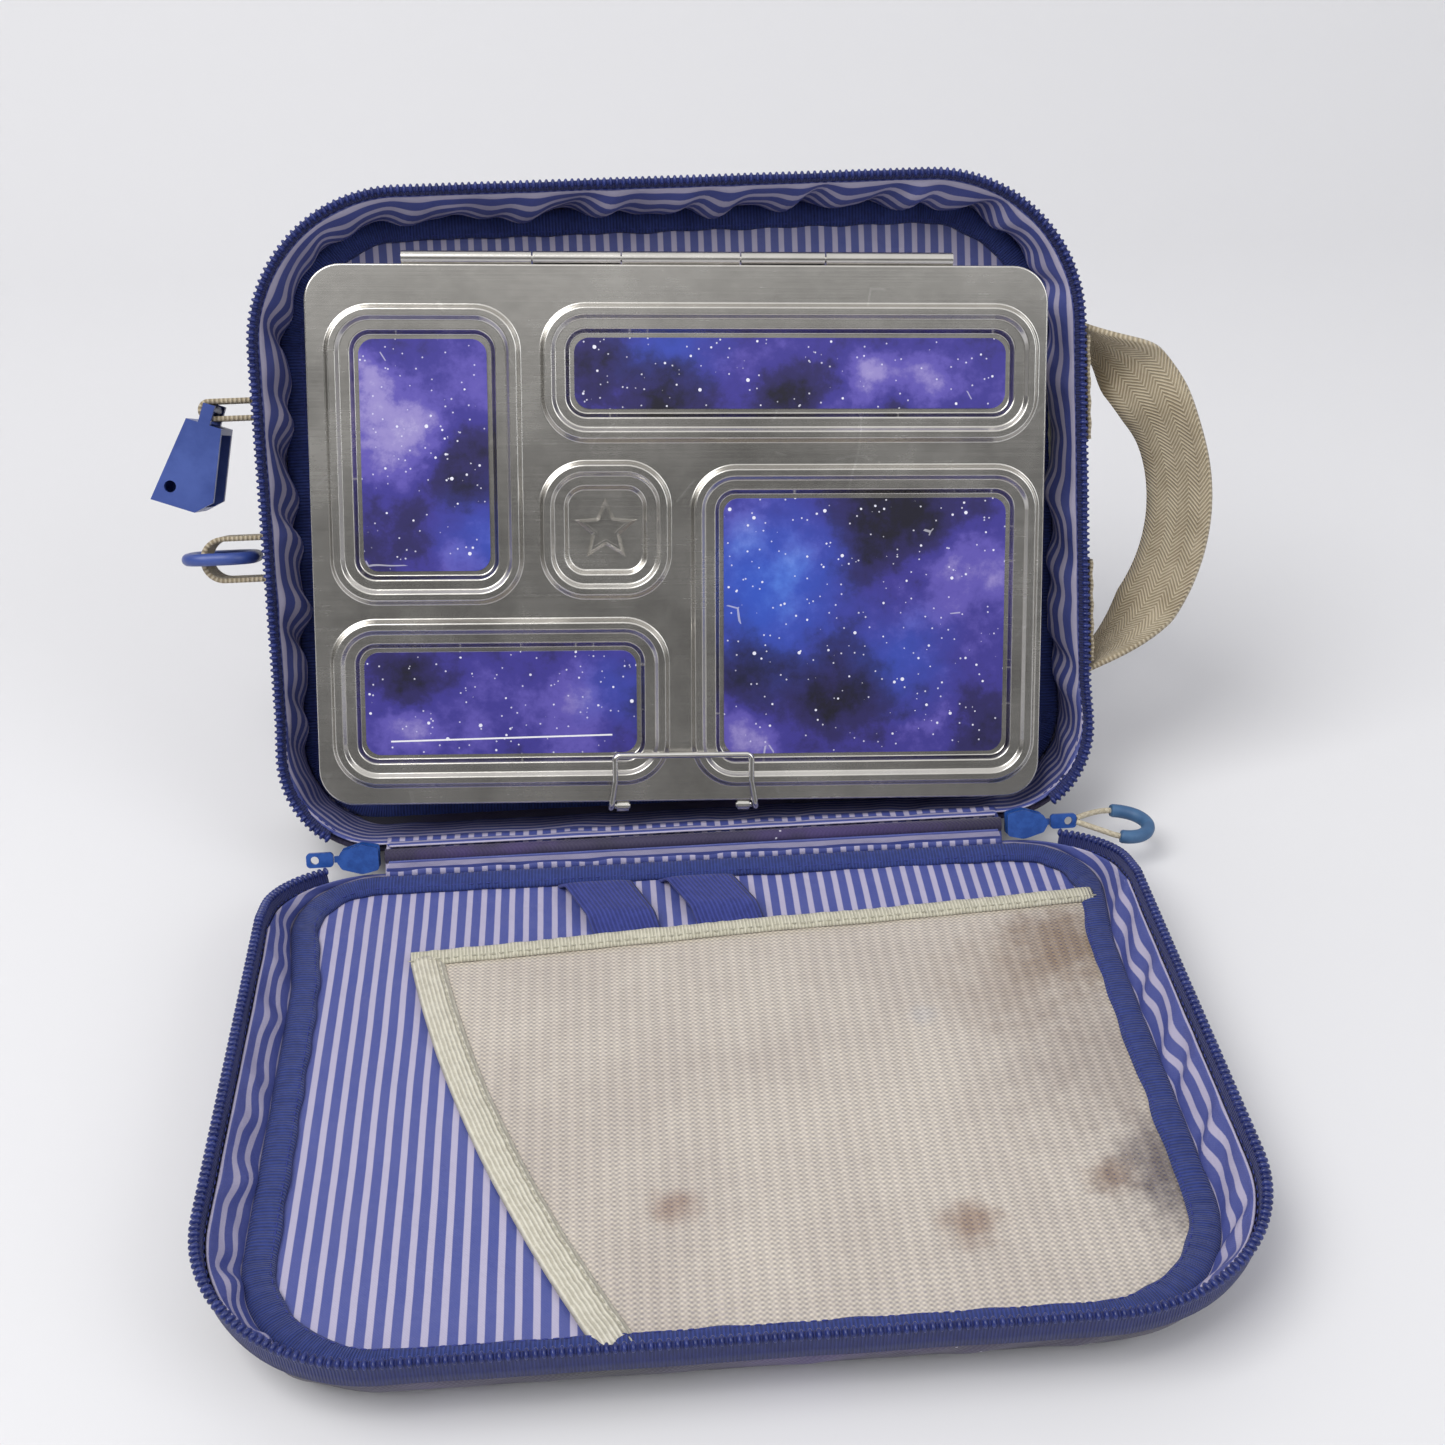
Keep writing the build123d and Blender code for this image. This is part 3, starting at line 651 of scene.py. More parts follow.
def make_lining_material():
    material, shader, nodes, links = new_material("striped lining")
    uv, across, _ = cloth_place(nodes, links)
    place = object_place(nodes)
    drift = math_node(nodes, links, "MULTIPLY_ADD", noise_value(nodes, links, place, 30), 0.0006, across)
    turn = math_node(nodes, links, "FRACT", math_node(nodes, links, "DIVIDE", drift, stripe_pitch))
    stripes = colour_ramp(nodes, links, turn, [(0.02, stripe_blue), (0.55, stripe_blue), (0.60, stripe_pale),
                                              (0.95, stripe_pale), (1.0, stripe_blue)], smooth=False)
    worn = math_node(nodes, links, "MULTIPLY", noise_value(nodes, links, place, 60, 5, 0.7), 0.22)
    aged = mix_colour(nodes, links, worn, stripes, (0.30, 0.28, 0.42))
    links.new(aged, shader.inputs["Base Color"])
    shader.inputs["Roughness"].default_value = 0.42
    shader.inputs["Specular IOR Level"].default_value = 0.45
    crinkle = add_bump(nodes, links, shader, noise_value(nodes, links, place, 95, 4, 0.6), 0.0009)
    add_bump(nodes, links, shader, weave_height(nodes, links, uv, 0.0004), 0.00004, under=crinkle)
    return material


lining_material = make_lining_material()
for half, place, rise, outer, pad, lean in halves:
    floor = pad - outer + lining_wall
    billow, fold = (-0.0004, 0.0014) if half == "front" else (-0.0050, 0.0026)
    points, along, height = side_wall(rise, outer, lean, floor - 0.0004, gusset_wall + lining_wall / 2,
                                      tape_width - 0.0045, billow, fold, 5.0 + outer * 100)
    cloth = np.stack([height, along], -1)
    lining = grid_mesh(half + "_lining_side", points, cloth, place, True, (0, edge_total))
    lining.data.materials.append(lining_material)
    thicken(lining, cloth_wall)
    finish_soft(lining, "bag_" + half, "lining", half + "_lining")

    shares = np.concatenate([[0, 0.02, 0.05], np.linspace(0.08, 0.99, 41), [1.0]])
    x, y = flat_rings(shares, floor, rise, outer, lean, inner_inset - 0.0012, 420)
    quilt = field(x, y, 22, 9.0 + outer) + 0.5 * field(x, y * 0.35, 75, 2.0)
    level = floor - 0.0003 + 0.0007 * np.clip(shares / 0.12, 0, 1)[:, None] * (0.4 + quilt)
    points = np.stack([x, y, level], -1)
    flat = grid_mesh(half + "_lining_flat", points, points[..., :2], place, True)
    flat.data.materials.append(lining_material)
    close_pole(flat)
    thicken(flat, cloth_wall)
    finish_soft(flat, "bag_" + half, "lining")

# ---- Seam binding and zippers
# Navy ribbed tape is folded over the seam between the flat lining and the side lining. A nylon coil zipper
# is sewn along both rims and ends on each side of the cloth hinge.

binding_width = 0.009
binding_wall = 0.0013
chain_width = 0.0032
tooth_pitch = 0.0021
stitch_pitch = 0.0028
zip_start = 0.125
binding_profile = np.array([(0.0, 0.3), (0.03, 1.1), (0.18, 1.9), (0.4, 2.1), (0.65, 2.0), (0.88, 1.7),
                            (0.98, 1.0), (1.0, 0.3)])  # across the tape, and height over its wall


def make_tape_material(name, dark, light, pitch, lengthwise=False):
    """A woven tape with ribs across it, or along it, with painted shade that darkens the low places between
    the ribs.
    """
    material, shader, nodes, links = new_material(name)
    _, along, across = cloth_place(nodes, links)
    place = object_place(nodes)
    ribs = rib_height(nodes, links, across if lengthwise else along, pitch)
    fleck = noise_value(nodes, links, place, 420, 4, 0.7)
    # The rib height also darkens the colour in the ribs' low places: painted shade in the grooves. The fleck
    # is the tape's own uneven tone.
    tone = math_node(nodes, links, "MULTIPLY_ADD", fleck, 0.7, math_node(nodes, links, "MULTIPLY", ribs, 0.3))
    links.new(colour_ramp(nodes, links, tone, [(0.30, dark), (0.70, light)]), shader.inputs["Base Color"])
    shader.inputs["Roughness"].default_value = 0.8
    shader.inputs["Sheen Weight"].default_value = 0.1
    add_bump(nodes, links, shader, ribs, pitch * 0.25)
    return material


def make_thread_material(name, colour):
    material, shader, nodes, links = new_material(name)
    place = object_place(nodes)
    fleck = noise_value(nodes, links, place, 2600)
    darker = tuple(0.7 * c for c in colour)
    links.new(colour_ramp(nodes, links, fleck, [(0.3, darker), (0.7, colour)]), shader.inputs["Base Color"])
    shader.inputs["Roughness"].default_value = 0.7
    return material


def make_coil_material():
    material, shader, nodes, links = new_material("zipper coil")
    fleck = noise_value(nodes, links, object_place(nodes), 300)
    links.new(colour_ramp(nodes, links, fleck, [(0.3, (0.010, 0.018, 0.11)), (0.7, (0.020, 0.034, 0.18))]),
              shader.inputs["Base Color"])
    shader.inputs["Roughness"].default_value = 0.32
    return material


def make_row_group():
    """Rounded parts set along a line at an even pitch: teeth or stitches."""
    group = bpy.data.node_groups.new("Row of parts", "GeometryNodeTree")
    group.interface.new_socket("Line", in_out="INPUT", socket_type="NodeSocketGeometry")
    for name in ("Pitch", "Length", "Width", "Height"):
        group.interface.new_socket(name, in_out="INPUT", socket_type="NodeSocketFloat")
    group.interface.new_socket("Material", in_out="INPUT", socket_type="NodeSocketMaterial")
    group.interface.new_socket("Parts", in_out="OUTPUT", socket_type="NodeSocketGeometry")
    nodes, links = group.nodes, group.links
    given, result = nodes.new("NodeGroupInput"), nodes.new("NodeGroupOutput")
    even = nodes.new("GeometryNodeResampleCurve")
    even.mode = "LENGTH"
    level = nodes.new("GeometryNodeSetCurveNormal")
    level.mode = "Z_UP"
    bead = nodes.new("GeometryNodeMeshUVSphere")
    bead.inputs["Segments"].default_value = 10
    bead.inputs["Rings"].default_value = 6
    bead.inputs["Radius"].default_value = 0.5
    size = nodes.new("ShaderNodeCombineXYZ")
    shape = nodes.new("GeometryNodeTransform")
    along = nodes.new("FunctionNodeAlignRotationToVector")
    along.axis = "X"
    beside = nodes.new("FunctionNodeAlignRotationToVector")
    beside.axis = "Y"
    beside.pivot_axis = "X"
    place = nodes.new("GeometryNodeInstanceOnPoints")
    real = nodes.new("GeometryNodeRealizeInstances")
    paint = nodes.new("GeometryNodeSetMaterial")
    smooth = nodes.new("GeometryNodeSetShadeSmooth")
    links.new(given.outputs["Line"], level.inputs["Curve"])
    links.new(level.outputs["Curve"], even.inputs["Curve"])
    links.new(given.outputs["Pitch"], even.inputs["Length"])
    for name, axis in (("Length", "X"), ("Width", "Y"), ("Height", "Z")):
        links.new(given.outputs[name], size.inputs[axis])
    links.new(bead.outputs["Mesh"], shape.inputs["Geometry"])
    links.new(size.outputs[0], shape.inputs["Scale"])
    links.new(nodes.new("GeometryNodeInputTangent").outputs[0], along.inputs["Vector"])
    links.new(along.outputs[0], beside.inputs["Rotation"])
    links.new(nodes.new("GeometryNodeInputNormal").outputs[0], beside.inputs["Vector"])
    links.new(even.outputs["Curve"], place.inputs["Points"])
    links.new(shape.outputs[0], place.inputs["Instance"])
    links.new(beside.outputs[0], place.inputs["Rotation"])
    links.new(place.outputs[0], real.inputs[0])
    links.new(real.outputs[0], smooth.inputs["Geometry"])
    links.new(smooth.outputs[0], paint.inputs["Geometry"])
    links.new(given.outputs["Material"], paint.inputs["Material"])
    links.new(paint.outputs[0], result.inputs["Parts"])
    return group


row_group = make_row_group()


def row_of_parts(name, points, place, pitch, size, material, closed=False):
    """Bakes a row of rounded parts along a line of points into a plain mesh."""
    curve = bpy.data.curves.new(name + "_line", "CURVE")
    curve.dimensions = "3D"
    spline = curve.splines.new("POLY")
    spline.points.add(len(points) - 1)
    with_weight = np.column_stack([points, np.ones(len(points))]).astype(np.float32)
    spline.points.foreach_set("co", with_weight.ravel())
    spline.use_cyclic_u = closed
    line = new_object(name + "_line", curve)
    modifier = line.modifiers.new("row", "NODES")
    modifier.node_group = row_group
    sockets = {item.name: item.identifier for item in row_group.interface.items_tree
               if item.in_out == "INPUT"}
    for key, value in (("Pitch", pitch), ("Length", size[0]), ("Width", size[1]), ("Height", size[2]),
                       ("Material", material)):
        modifier[sockets[key]] = value
    bpy.context.view_layer.update()
    baked = line.evaluated_get(bpy.context.evaluated_depsgraph_get())
    mesh = bpy.data.meshes.new_from_object(baked)
    mesh.name = name
    bpy.data.objects.remove(line)
    if mesh.materials:
        mesh.materials[0] = material
    else:
        mesh.materials.append(material)
    return set_in_place(name, mesh, place)


binding_material = make_tape_material("navy binding", (0.012, 0.024, 0.130), (0.025, 0.048, 0.240), 0.0011)
zip_tape_material = make_tape_material("navy zipper tape", (0.008, 0.014, 0.095), (0.020, 0.030, 0.160),
                                       0.0009)
coil_material = make_coil_material()
navy_thread = make_thread_material("navy thread", (0.030, 0.045, 0.26))
for half, place, rise, outer, pad, lean in halves:
    floor = pad - outer + lining_wall
    distance = np.linspace(0, edge_total, 640, endpoint=False)
    _, up = edge_at(distance, inner_inset)
    shift = lean_in(floor, up, rise, outer, lean) * 0.85
    inward, rounded = binding_profile[:, :1], binding_profile[:, 1:]
    wobble = 0.0004 * ripple(distance, 3 + outer, (0.017, 0.029, 0.041))
    inset = inner_inset + shift[None, :] + binding_width * inward + wobble[None, :] * inward
    pucker = 0.0003 * ripple(distance, 8 + outer, (0.006, 0.011, 0.023))[None, :] * np.sin(pi * inward)
    x, y = edge_at(np.broadcast_to(distance, inset.shape), inset)
    points = np.stack([x, y, floor + binding_wall * rounded + pucker], -1)
    cloth = np.stack([np.broadcast_to(distance, inset.shape), inset], -1)
    binding = grid_mesh(half + "_seam_binding", points, cloth, place, True, (edge_total, 0))
    binding.data.materials.append(binding_material)
    thicken(binding, 0.0006, -1)
    finish_soft(binding, "bag_" + half, "navy_tape", half + "_binding")
    seam_x, seam_y = edge_at(distance, inner_inset + shift + 0.0078)
    seam = np.stack([seam_x, seam_y, np.full_like(seam_x, floor + 1.75 * binding_wall)], -1)
    stitches = row_of_parts(half + "_binding_stitches", seam, place, stitch_pitch, (0.0018, 0.0005, 0.0004),
                            navy_thread, True)
    finish_soft(stitches, "bag_" + half, "navy_tape")

    run = np.linspace(zip_start, edge_total - zip_start, 520)
    rim_top = zip_line(edge_at(run, 0)[1], rise)
    depth = np.array([0.0012, 0.0028, 0.0045, 0.0070, tape_width])[:, None]
    inset = np.array([0.0016, 0.0019, 0.0024, 0.0026, 0.0029])[:, None] + 0.0002 * ripple(run, outer)[None, :]
    x, y = edge_at(np.broadcast_to(run, inset.shape), inset)
    points = np.stack([x, y, rim_top[None, :] - depth], -1)
    cloth = np.stack([np.broadcast_to(run, inset.shape), np.broadcast_to(depth, inset.shape)], -1)
    tape = grid_mesh(half + "_zip_tape", points, cloth, place)
    tape.data.materials.append(zip_tape_material)
    thicken(tape, 0.0014)
    finish_soft(tape, "bag_" + half, "navy_tape", half + "_zipper_tape")
    for row, (row_inset, drop) in enumerate(((0.0035, 0.0052), (0.0037, 0.0085))):
        line_x, line_y = edge_at(run, row_inset)
        line = np.stack([line_x, line_y, rim_top - drop], -1)
        stitches = row_of_parts(f"{half}_zip_stitches_{row}", line, place, stitch_pitch,
                                (0.0018, 0.0004, 0.0005), navy_thread)
        finish_soft(stitches, "bag_" + half, "navy_tape")
    line_x, line_y = edge_at(run, chain_width / 2)
    line = np.stack([line_x, line_y, rim_top - 0.0015], -1)
    teeth = row_of_parts(half + "_coil_teeth", line, place, tooth_pitch, (0.0015, chain_width, 0.0024),
                         coil_material)
    finish_soft(teeth, "bag_" + half, "zipper_coil", half + "_zipper_teeth")

# ---- Cloth hinge
# The striped lining runs on across the fold between the halves, as one fixed arch.
# It lies over a narrow roll of outer cloth, sewn along the fold.

roll_radius = 0.0021
arch = []
for k, share in enumerate(np.linspace(0, 1, 11)):
    back_side = back_place @ Vector((0, 0.0038, -0.010))
    front_side = front_place @ Vector((0, 0.0044, -0.0055))
    lift = 0.0030 * sin(pi * share) - 0.0006 * sin(2 * pi * share)
    arch.append(back_side.lerp(front_side, share) + Vector((0, -0.2 * lift, lift)))
across = np.linspace(-hinge_half, hinge_half, 120)
points = np.array([[(x, p.y, p.z) for x in across] for p in arch])
points[..., 2] += 0.0004 * np.sin(across * 210)[None, :] * np.sin(np.linspace(0, pi, len(arch)))[:, None]
cloth = np.stack([points[..., 0], points[..., 1]], -1)
hinge_cloth = grid_mesh("hinge_cloth", points, cloth, Matrix.Identity(4))
hinge_cloth.data.materials.append(lining_material)
thicken(hinge_cloth, 0.0007, -1)
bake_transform(hinge_cloth)
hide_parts("hinge_strip")

roll_rows = np.linspace(0, tau, 17)
points = np.array([[(x, hinge.y + roll_radius * cos(a), hinge.z + roll_radius * sin(a))
                    for x in (-hinge_half, hinge_half)] for a in roll_rows])
hinge_roll = grid_mesh("hinge_roll", points, points[..., :2], Matrix.Identity(4))
hinge_roll.data.materials.append(outer_material)
thicken(hinge_roll, 0.0008)
finish_soft(hinge_roll, "bag_back", "outer_fabric")

# ---- Net pocket
# Knitted net over the lower right of the front half, bound with cream tape at its slanting top and with
# wide ribbed elastic at its bowed left side. Food has stained it.

pocket_floor = front_pad - front_outer + lining_wall
pocket_left, pocket_left_y, pocket_right_y = -0.093, 0.047, 0.032
pocket_foot_x, pocket_bulge = -0.036, 0.007
pocket_slope = (pocket_right_y - pocket_left_y) / (half_width - pocket_left)
seam_inset = inner_inset + binding_width
stains = (  # across, up, radius, strength, colour
    (0.113, 0.060, 0.026, 0.75, (0.27, 0.17, 0.075)), (0.096, 0.074, 0.034, 0.35, (0.36, 0.25, 0.14)),
    (0.104, 0.158, 0.010, 0.65, (0.30, 0.17, 0.07)), (0.062, 0.171, 0.011, 0.70, (0.33, 0.19, 0.09)),
    (-0.016, 0.159, 0.009, 0.60, (0.34, 0.19, 0.10)), (0.127, 0.160, 0.030, 0.80, (0.085, 0.060, 0.045)),
    (0.118, 0.115, 0.045, 0.35, (0.25, 0.18, 0.12)), (0.063, 0.089, 0.006, 0.5, (0.66, 0.64, 0.60)),
)


def pocket_edges(shares):
    """The pocket's four sides, each as points at the given shares: top, foot, left and right."""
    right_x = half_width - seam_inset
    foot_y = bag_height - seam_inset
    radius = far_radius - seam_inset
    top = np.stack([pocket_left + (right_x - pocket_left) * shares,
                    pocket_left_y + pocket_slope * (right_x - pocket_left) * shares], -1)
    left_x = pocket_left + (pocket_foot_x - pocket_left) * shares - pocket_bulge * 4 * shares * (1 - shares)
    left = np.stack([left_x, pocket_left_y + (foot_y - pocket_left_y) * shares], -1)
    straight = bag_height - far_radius - top[-1, 1]
    bend = radius * pi / 4
    bottom_run = half_width - far_radius - pocket_foot_x
    run = shares * (straight + bend)
    angle = np.clip(run - straight, 0, None) / radius
    right = np.stack([right_x - radius * (1 - np.cos(angle)),
                      top[-1, 1] + np.minimum(run, straight) + radius * np.sin(angle)], -1)
    run = shares * (bottom_run + bend)
    angle = pi / 2 - np.clip(run - bottom_run, 0, None) / radius
    foot = np.stack([pocket_foot_x + np.minimum(run, bottom_run) + radius * np.cos(angle),
                     foot_y - radius * (1 - np.sin(angle))], -1)
    return top, foot, left, right


def pocket_lift(x, y):
    """Height of the net over the lining: slack along its top, a few soft folds, tight at the seams."""
    below = np.clip((y - (pocket_left_y + pocket_slope * (x - pocket_left))) / 0.16, 0, 1)
    folds = 0.0007 * field(x + 0.4 * y, y - 0.3 * x, 28, 21.0) + 0.0005 * field(x, y, 70, 25.0)
    slack = 0.0014 * (1 - below) ** 2 * (0.6 + 0.6 * field(x, y, 15, 31.0))
    return 0.0011 + slack + folds * (0.4 + 0.6 * below)


def make_net_material():
    material, shader, nodes, links = new_material("stained net")
    uv, _, up = cloth_place(nodes, links)
    knit = weave_height(nodes, links, uv, 0.00085)
    place = object_place(nodes)
    wave = math_node(nodes, links, "MULTIPLY_ADD", noise_value(nodes, links, uv, 55, 2), 0.004, up)
    rows = rib_height(nodes, links, wave, 0.0016)
    cover = math_node(nodes, links, "MULTIPLY_ADD", knit, 0.24, 0.47)
    cover = math_node(nodes, links, "MULTIPLY_ADD", rows, 0.16, cover)
    tone = noise_value(nodes, links, place, 26, 5, 0.7)
    colour = colour_ramp(nodes, links, tone, [(0.3, (0.70, 0.62, 0.51)), (0.7, (0.82, 0.74, 0.61))])
    for x, y, radius, amount, shade in stains:
        spot = add_node(nodes, "ShaderNodeVectorMath", operation="DISTANCE")
        links.new(uv, spot.inputs[0])
        spot.inputs[1].default_value = (x, y, 0)
        rough_edge = noise_value(nodes, links, uv, 90, 4, 0.7)
        ragged = math_node(nodes, links, "MULTIPLY_ADD", rough_edge, radius * 1.3, spot.outputs["Value"])
        fade = nodes.new("ShaderNodeMapRange")
        fade.interpolation_type = "SMOOTHSTEP"
        links.new(ragged, fade.inputs["Value"])
        fade.inputs["From Min"].default_value = radius * 0.75
        fade.inputs["From Max"].default_value = radius * 1.75
        fade.inputs["To Min"].default_value = amount
        fade.inputs["To Max"].default_value = 0.0
        colour = mix_colour(nodes, links, fade.outputs["Result"], colour, shade)
    # The knit height darkens the colour in the knit's low places: painted shade between the threads, on top
    # of the stains.
    darker = math_node(nodes, links, "MULTIPLY_ADD", knit, 0.30, 0.78)
    tint = nodes.new("ShaderNodeCombineColor")
    for channel in ("Red", "Green", "Blue"):
        links.new(darker, tint.inputs[channel])
    net_colour_with_painted_shade = mix_colour(nodes, links, 1.0, colour, tint.outputs[0], "MULTIPLY")
    links.new(net_colour_with_painted_shade, shader.inputs["Base Color"])
    links.new(cover, shader.inputs["Alpha"])
    shader.inputs["Roughness"].default_value = 0.75
    add_bump(nodes, links, shader, knit, 0.0002)
    return material


rows, columns = np.linspace(0, 1, 70), np.linspace(0, 1, 100)
top, foot, _, _ = pocket_edges(columns)
_, _, left, right = pocket_edges(rows)
u, v = columns[None, :, None], rows[:, None, None]
flat = (1 - v) * top[None] + v * foot[None] + (1 - u) * left[:, None] + u * right[:, None]
flat -= (1 - u) * (1 - v) * top[0] + u * (1 - v) * top[-1] + (1 - u) * v * foot[0] + u * v * foot[-1]
net_x, net_y = flat[..., 0], flat[..., 1]
points = np.stack([net_x, net_y, pocket_floor + pocket_lift(net_x, net_y)], -1)
net = grid_mesh("net_pocket", points, flat, front_place)
net.data.materials.append(make_net_material())
finish_soft(net, "bag_front", "mesh", "mesh_pocket")

cream_tape_material = make_tape_material("cream tape", (0.45, 0.43, 0.33), (0.68, 0.65, 0.53), 0.0011)
elastic_material = make_tape_material("cream elastic", (0.48, 0.45, 0.36), (0.72, 0.69, 0.58), 0.0013, True)
cream_thread = make_thread_material("cream thread", (0.50, 0.48, 0.38))


def edge_tape(name, line, across, width, material, nodes_hidden, stitch_at):
    """A tape folded over the net's edge along a line, with its line of stitches."""
    steps = np.array([-0.04, 0.0, 0.12, 0.35, 0.6, 0.85, 1.0])
    rise = np.array([0.0002, 0.0008, 0.0013, 0.0015, 0.0013, 0.0011, 0.0002])
    flat = line[None] + across[None] * (steps * width)[:, None, None]
    run = np.concatenate([[0], np.cumsum(np.hypot(*(line[1:] - line[:-1]).T))])
    wave = 0.00035 * np.sin(run[None, :] * 700 + 3 * np.sin(run[None, :] * 130)) * (rise[:, None] > 0.001)
    height = pocket_floor + pocket_lift(flat[..., 0], flat[..., 1]) + rise[:, None] + wave
    points = np.concatenate([flat, height[..., None]], -1)
    cloth = np.stack([np.broadcast_to(run, flat.shape[:2]),
                      np.broadcast_to((steps * width)[:, None], flat.shape[:2])], -1)
    tape = grid_mesh(name, points, cloth, front_place)
    tape.data.materials.append(material)
    thicken(tape, 0.0006)
    finish_soft(tape, "bag_front", "cream_tape", nodes_hidden)
    row = line + across * stitch_at
    seam = np.column_stack([row, pocket_floor + pocket_lift(row[:, 0], row[:, 1]) + 0.0018])
    stitches = row_of_parts(name + "_stitches", seam, front_place, stitch_pitch, (0.0019, 0.0005, 0.0004),
                            cream_thread)
    finish_soft(stitches, "bag_front", "cream_tape")


shares = np.linspace(0, 1, 90)
top, _, left, _ = pocket_edges(shares)
slant = np.array([-pocket_slope, 1.0]) / hypot(pocket_slope, 1.0)
edge_tape("pocket_top_tape", top, np.broadcast_to(slant, top.shape), 0.006, cream_tape_material,
          "pocket_top_binding", 0.0050)
left_run = np.gradient(left, axis=0)
left_run /= np.linalg.norm(left_run, axis=1)[:, None]
edge_tape("pocket_side_elastic", left[2:], np.stack([left_run[:, 1], -left_run[:, 0]], -1)[2:], 0.0095,
          elastic_material, "pocket_side_binding", 0.0078)

# ---- Loops for a fork and spoon
# Two short bands of navy elastic with fine ribs along them stand up in a low arch. They are sewn down at the
# hinge seam and under the pocket's top tape.

band_width, band_lean, band_rise = 0.022, 0.012, 0.0048
elastic_navy = make_tape_material("navy elastic", (0.018, 0.028, 0.170), (0.040, 0.056, 0.290), 0.0014, True)
for side, band_left in (("left", -0.047), ("right", -0.0135)):
    start = seam_inset
    end = pocket_left_y + (band_left + band_lean + band_width - pocket_left) * pocket_slope - 0.0008
    along = np.linspace(0, 1, 26)
    arch = np.clip(np.minimum(along, 1 - along) / 0.24, 0, 1)
    arch = arch * arch * (3 - 2 * arch)
    across = np.linspace(0, 1, 9)
    x = band_left + band_lean * along[:, None] + band_width * across[None, :]
    y = np.broadcast_to((start + (end - start) * along)[:, None], x.shape)
    curl = 0.0005 * (2 * across - 1)[None, :] ** 4
    z = pocket_floor + 0.0006 + (band_rise - 0.0002) * arch[:, None] - curl
    cloth = np.stack([y, np.broadcast_to(band_width * across, x.shape)], -1)
    band = grid_mesh(f"elastic_loop_{side}", np.stack([x, y, z], -1), cloth, front_place)
    band.data.materials.append(elastic_navy)
    thicken(band, 0.0009)
    finish_soft(band, "bag_front", "navy_tape", "utensil_band_" + side)

# ---- Zipper sliders and pulls
# Cast metal with blue enamel, rubbed brighter here and there. Each slider runs on the coil and carries its
# pull on a loose eye.


def make_enamel_material():
    material, shader, nodes, links = new_material("blue enamel")
    place = object_place(nodes)
    rub = noise_value(nodes, links, place, 260, 5, 0.7)
    links.new(colour_ramp(nodes, links, rub, [(0.35, (0.012, 0.060, 0.270)), (0.62, (0.022, 0.092, 0.370)),
                                            (0.80, (0.060, 0.140, 0.420))]), shader.inputs["Base Color"])
    shader.inputs["Roughness"].default_value = 0.35
    shader.inputs["Coat Weight"].default_value = 0.25
    add_bump(nodes, links, shader, noise_value(nodes, links, place, 500), 0.00006)
    return material


enamel = make_enamel_material()


def dress(node_name, material):
    """Puts a material on a rigid CAD node."""
    node = frame["nodes"][node_name]
    node.data.materials.clear()
    node.data.materials.append(material)


for node_name in ("slider_left", "slider_right", "pull_tab_left", "pull_tab_right"):
    dress(node_name, enamel)

# ---- Steel box
# Pressed stainless sheet: a divided tray and a lid with five pressed panels, joined by a rolled hinge on a
# steel rod. The lid is satin with fine scratches, smears and a few water marks.

box_low, box_height, box_width, box_roll = 0.0125, 0.178, 0.244, radians(2.2)
box_middle = back_place @ Vector((0, box_low + box_height / 2, -0.006))
box_across = Vector((cos(box_roll), 0, 0)) - upward * sin(box_roll)
box_up = upward * cos(box_roll) + Vector((sin(box_roll), 0, 0))


def lid_axes(nodes, links, place):
    """Position on the lid from its middle, across and up, in metres."""
    shift = add_node(nodes, "ShaderNodeVectorMath", operation="SUBTRACT")
    links.new(place, shift.inputs[0])
    shift.inputs[1].default_value = box_middle
    found = []
    for axis in (box_across, box_up):
        dot = add_node(nodes, "ShaderNodeVectorMath", operation="DOT_PRODUCT")
        links.new(shift.outputs[0], dot.inputs[0])
        dot.inputs[1].default_value = axis
        found.append(dot.outputs["Value"])
    return found


def scratch_lines(nodes, links, place, scale, seed, width, share):
    """Thin wandering lines, broken up by noise: 1 on a line, 0 elsewhere."""
    warp = add_node(nodes, "ShaderNodeTexNoise", Scale=scale * 0.6, Detail=2.0)
    moved = add_node(nodes, "ShaderNodeVectorMath", operation="MULTIPLY_ADD")
    links.new(place, warp.inputs["Vector"])
    links.new(warp.outputs["Color"], moved.inputs[0])
    moved.inputs[1].default_value = (0.6 / scale, 0.6 / scale, 0.6 / scale)
    offset = add_node(nodes, "ShaderNodeVectorMath", operation="ADD")
    links.new(place, offset.inputs[0])
    offset.inputs[1].default_value = (seed, seed * 0.7, 0)
    links.new(offset.outputs[0], moved.inputs[2])
    cells = nodes.new("ShaderNodeTexVoronoi")
    cells.feature = "DISTANCE_TO_EDGE"
    cells.inputs["Scale"].default_value = scale
    links.new(moved.outputs[0], cells.inputs["Vector"])
    line = math_node(nodes, links, "LESS_THAN", cells.outputs["Distance"], width)
    patches = noise_value(nodes, links, offset.outputs[0], scale * 1.3, 2)
    broken = math_node(nodes, links, "GREATER_THAN", patches, share)
    return math_node(nodes, links, "MULTIPLY", line, broken)


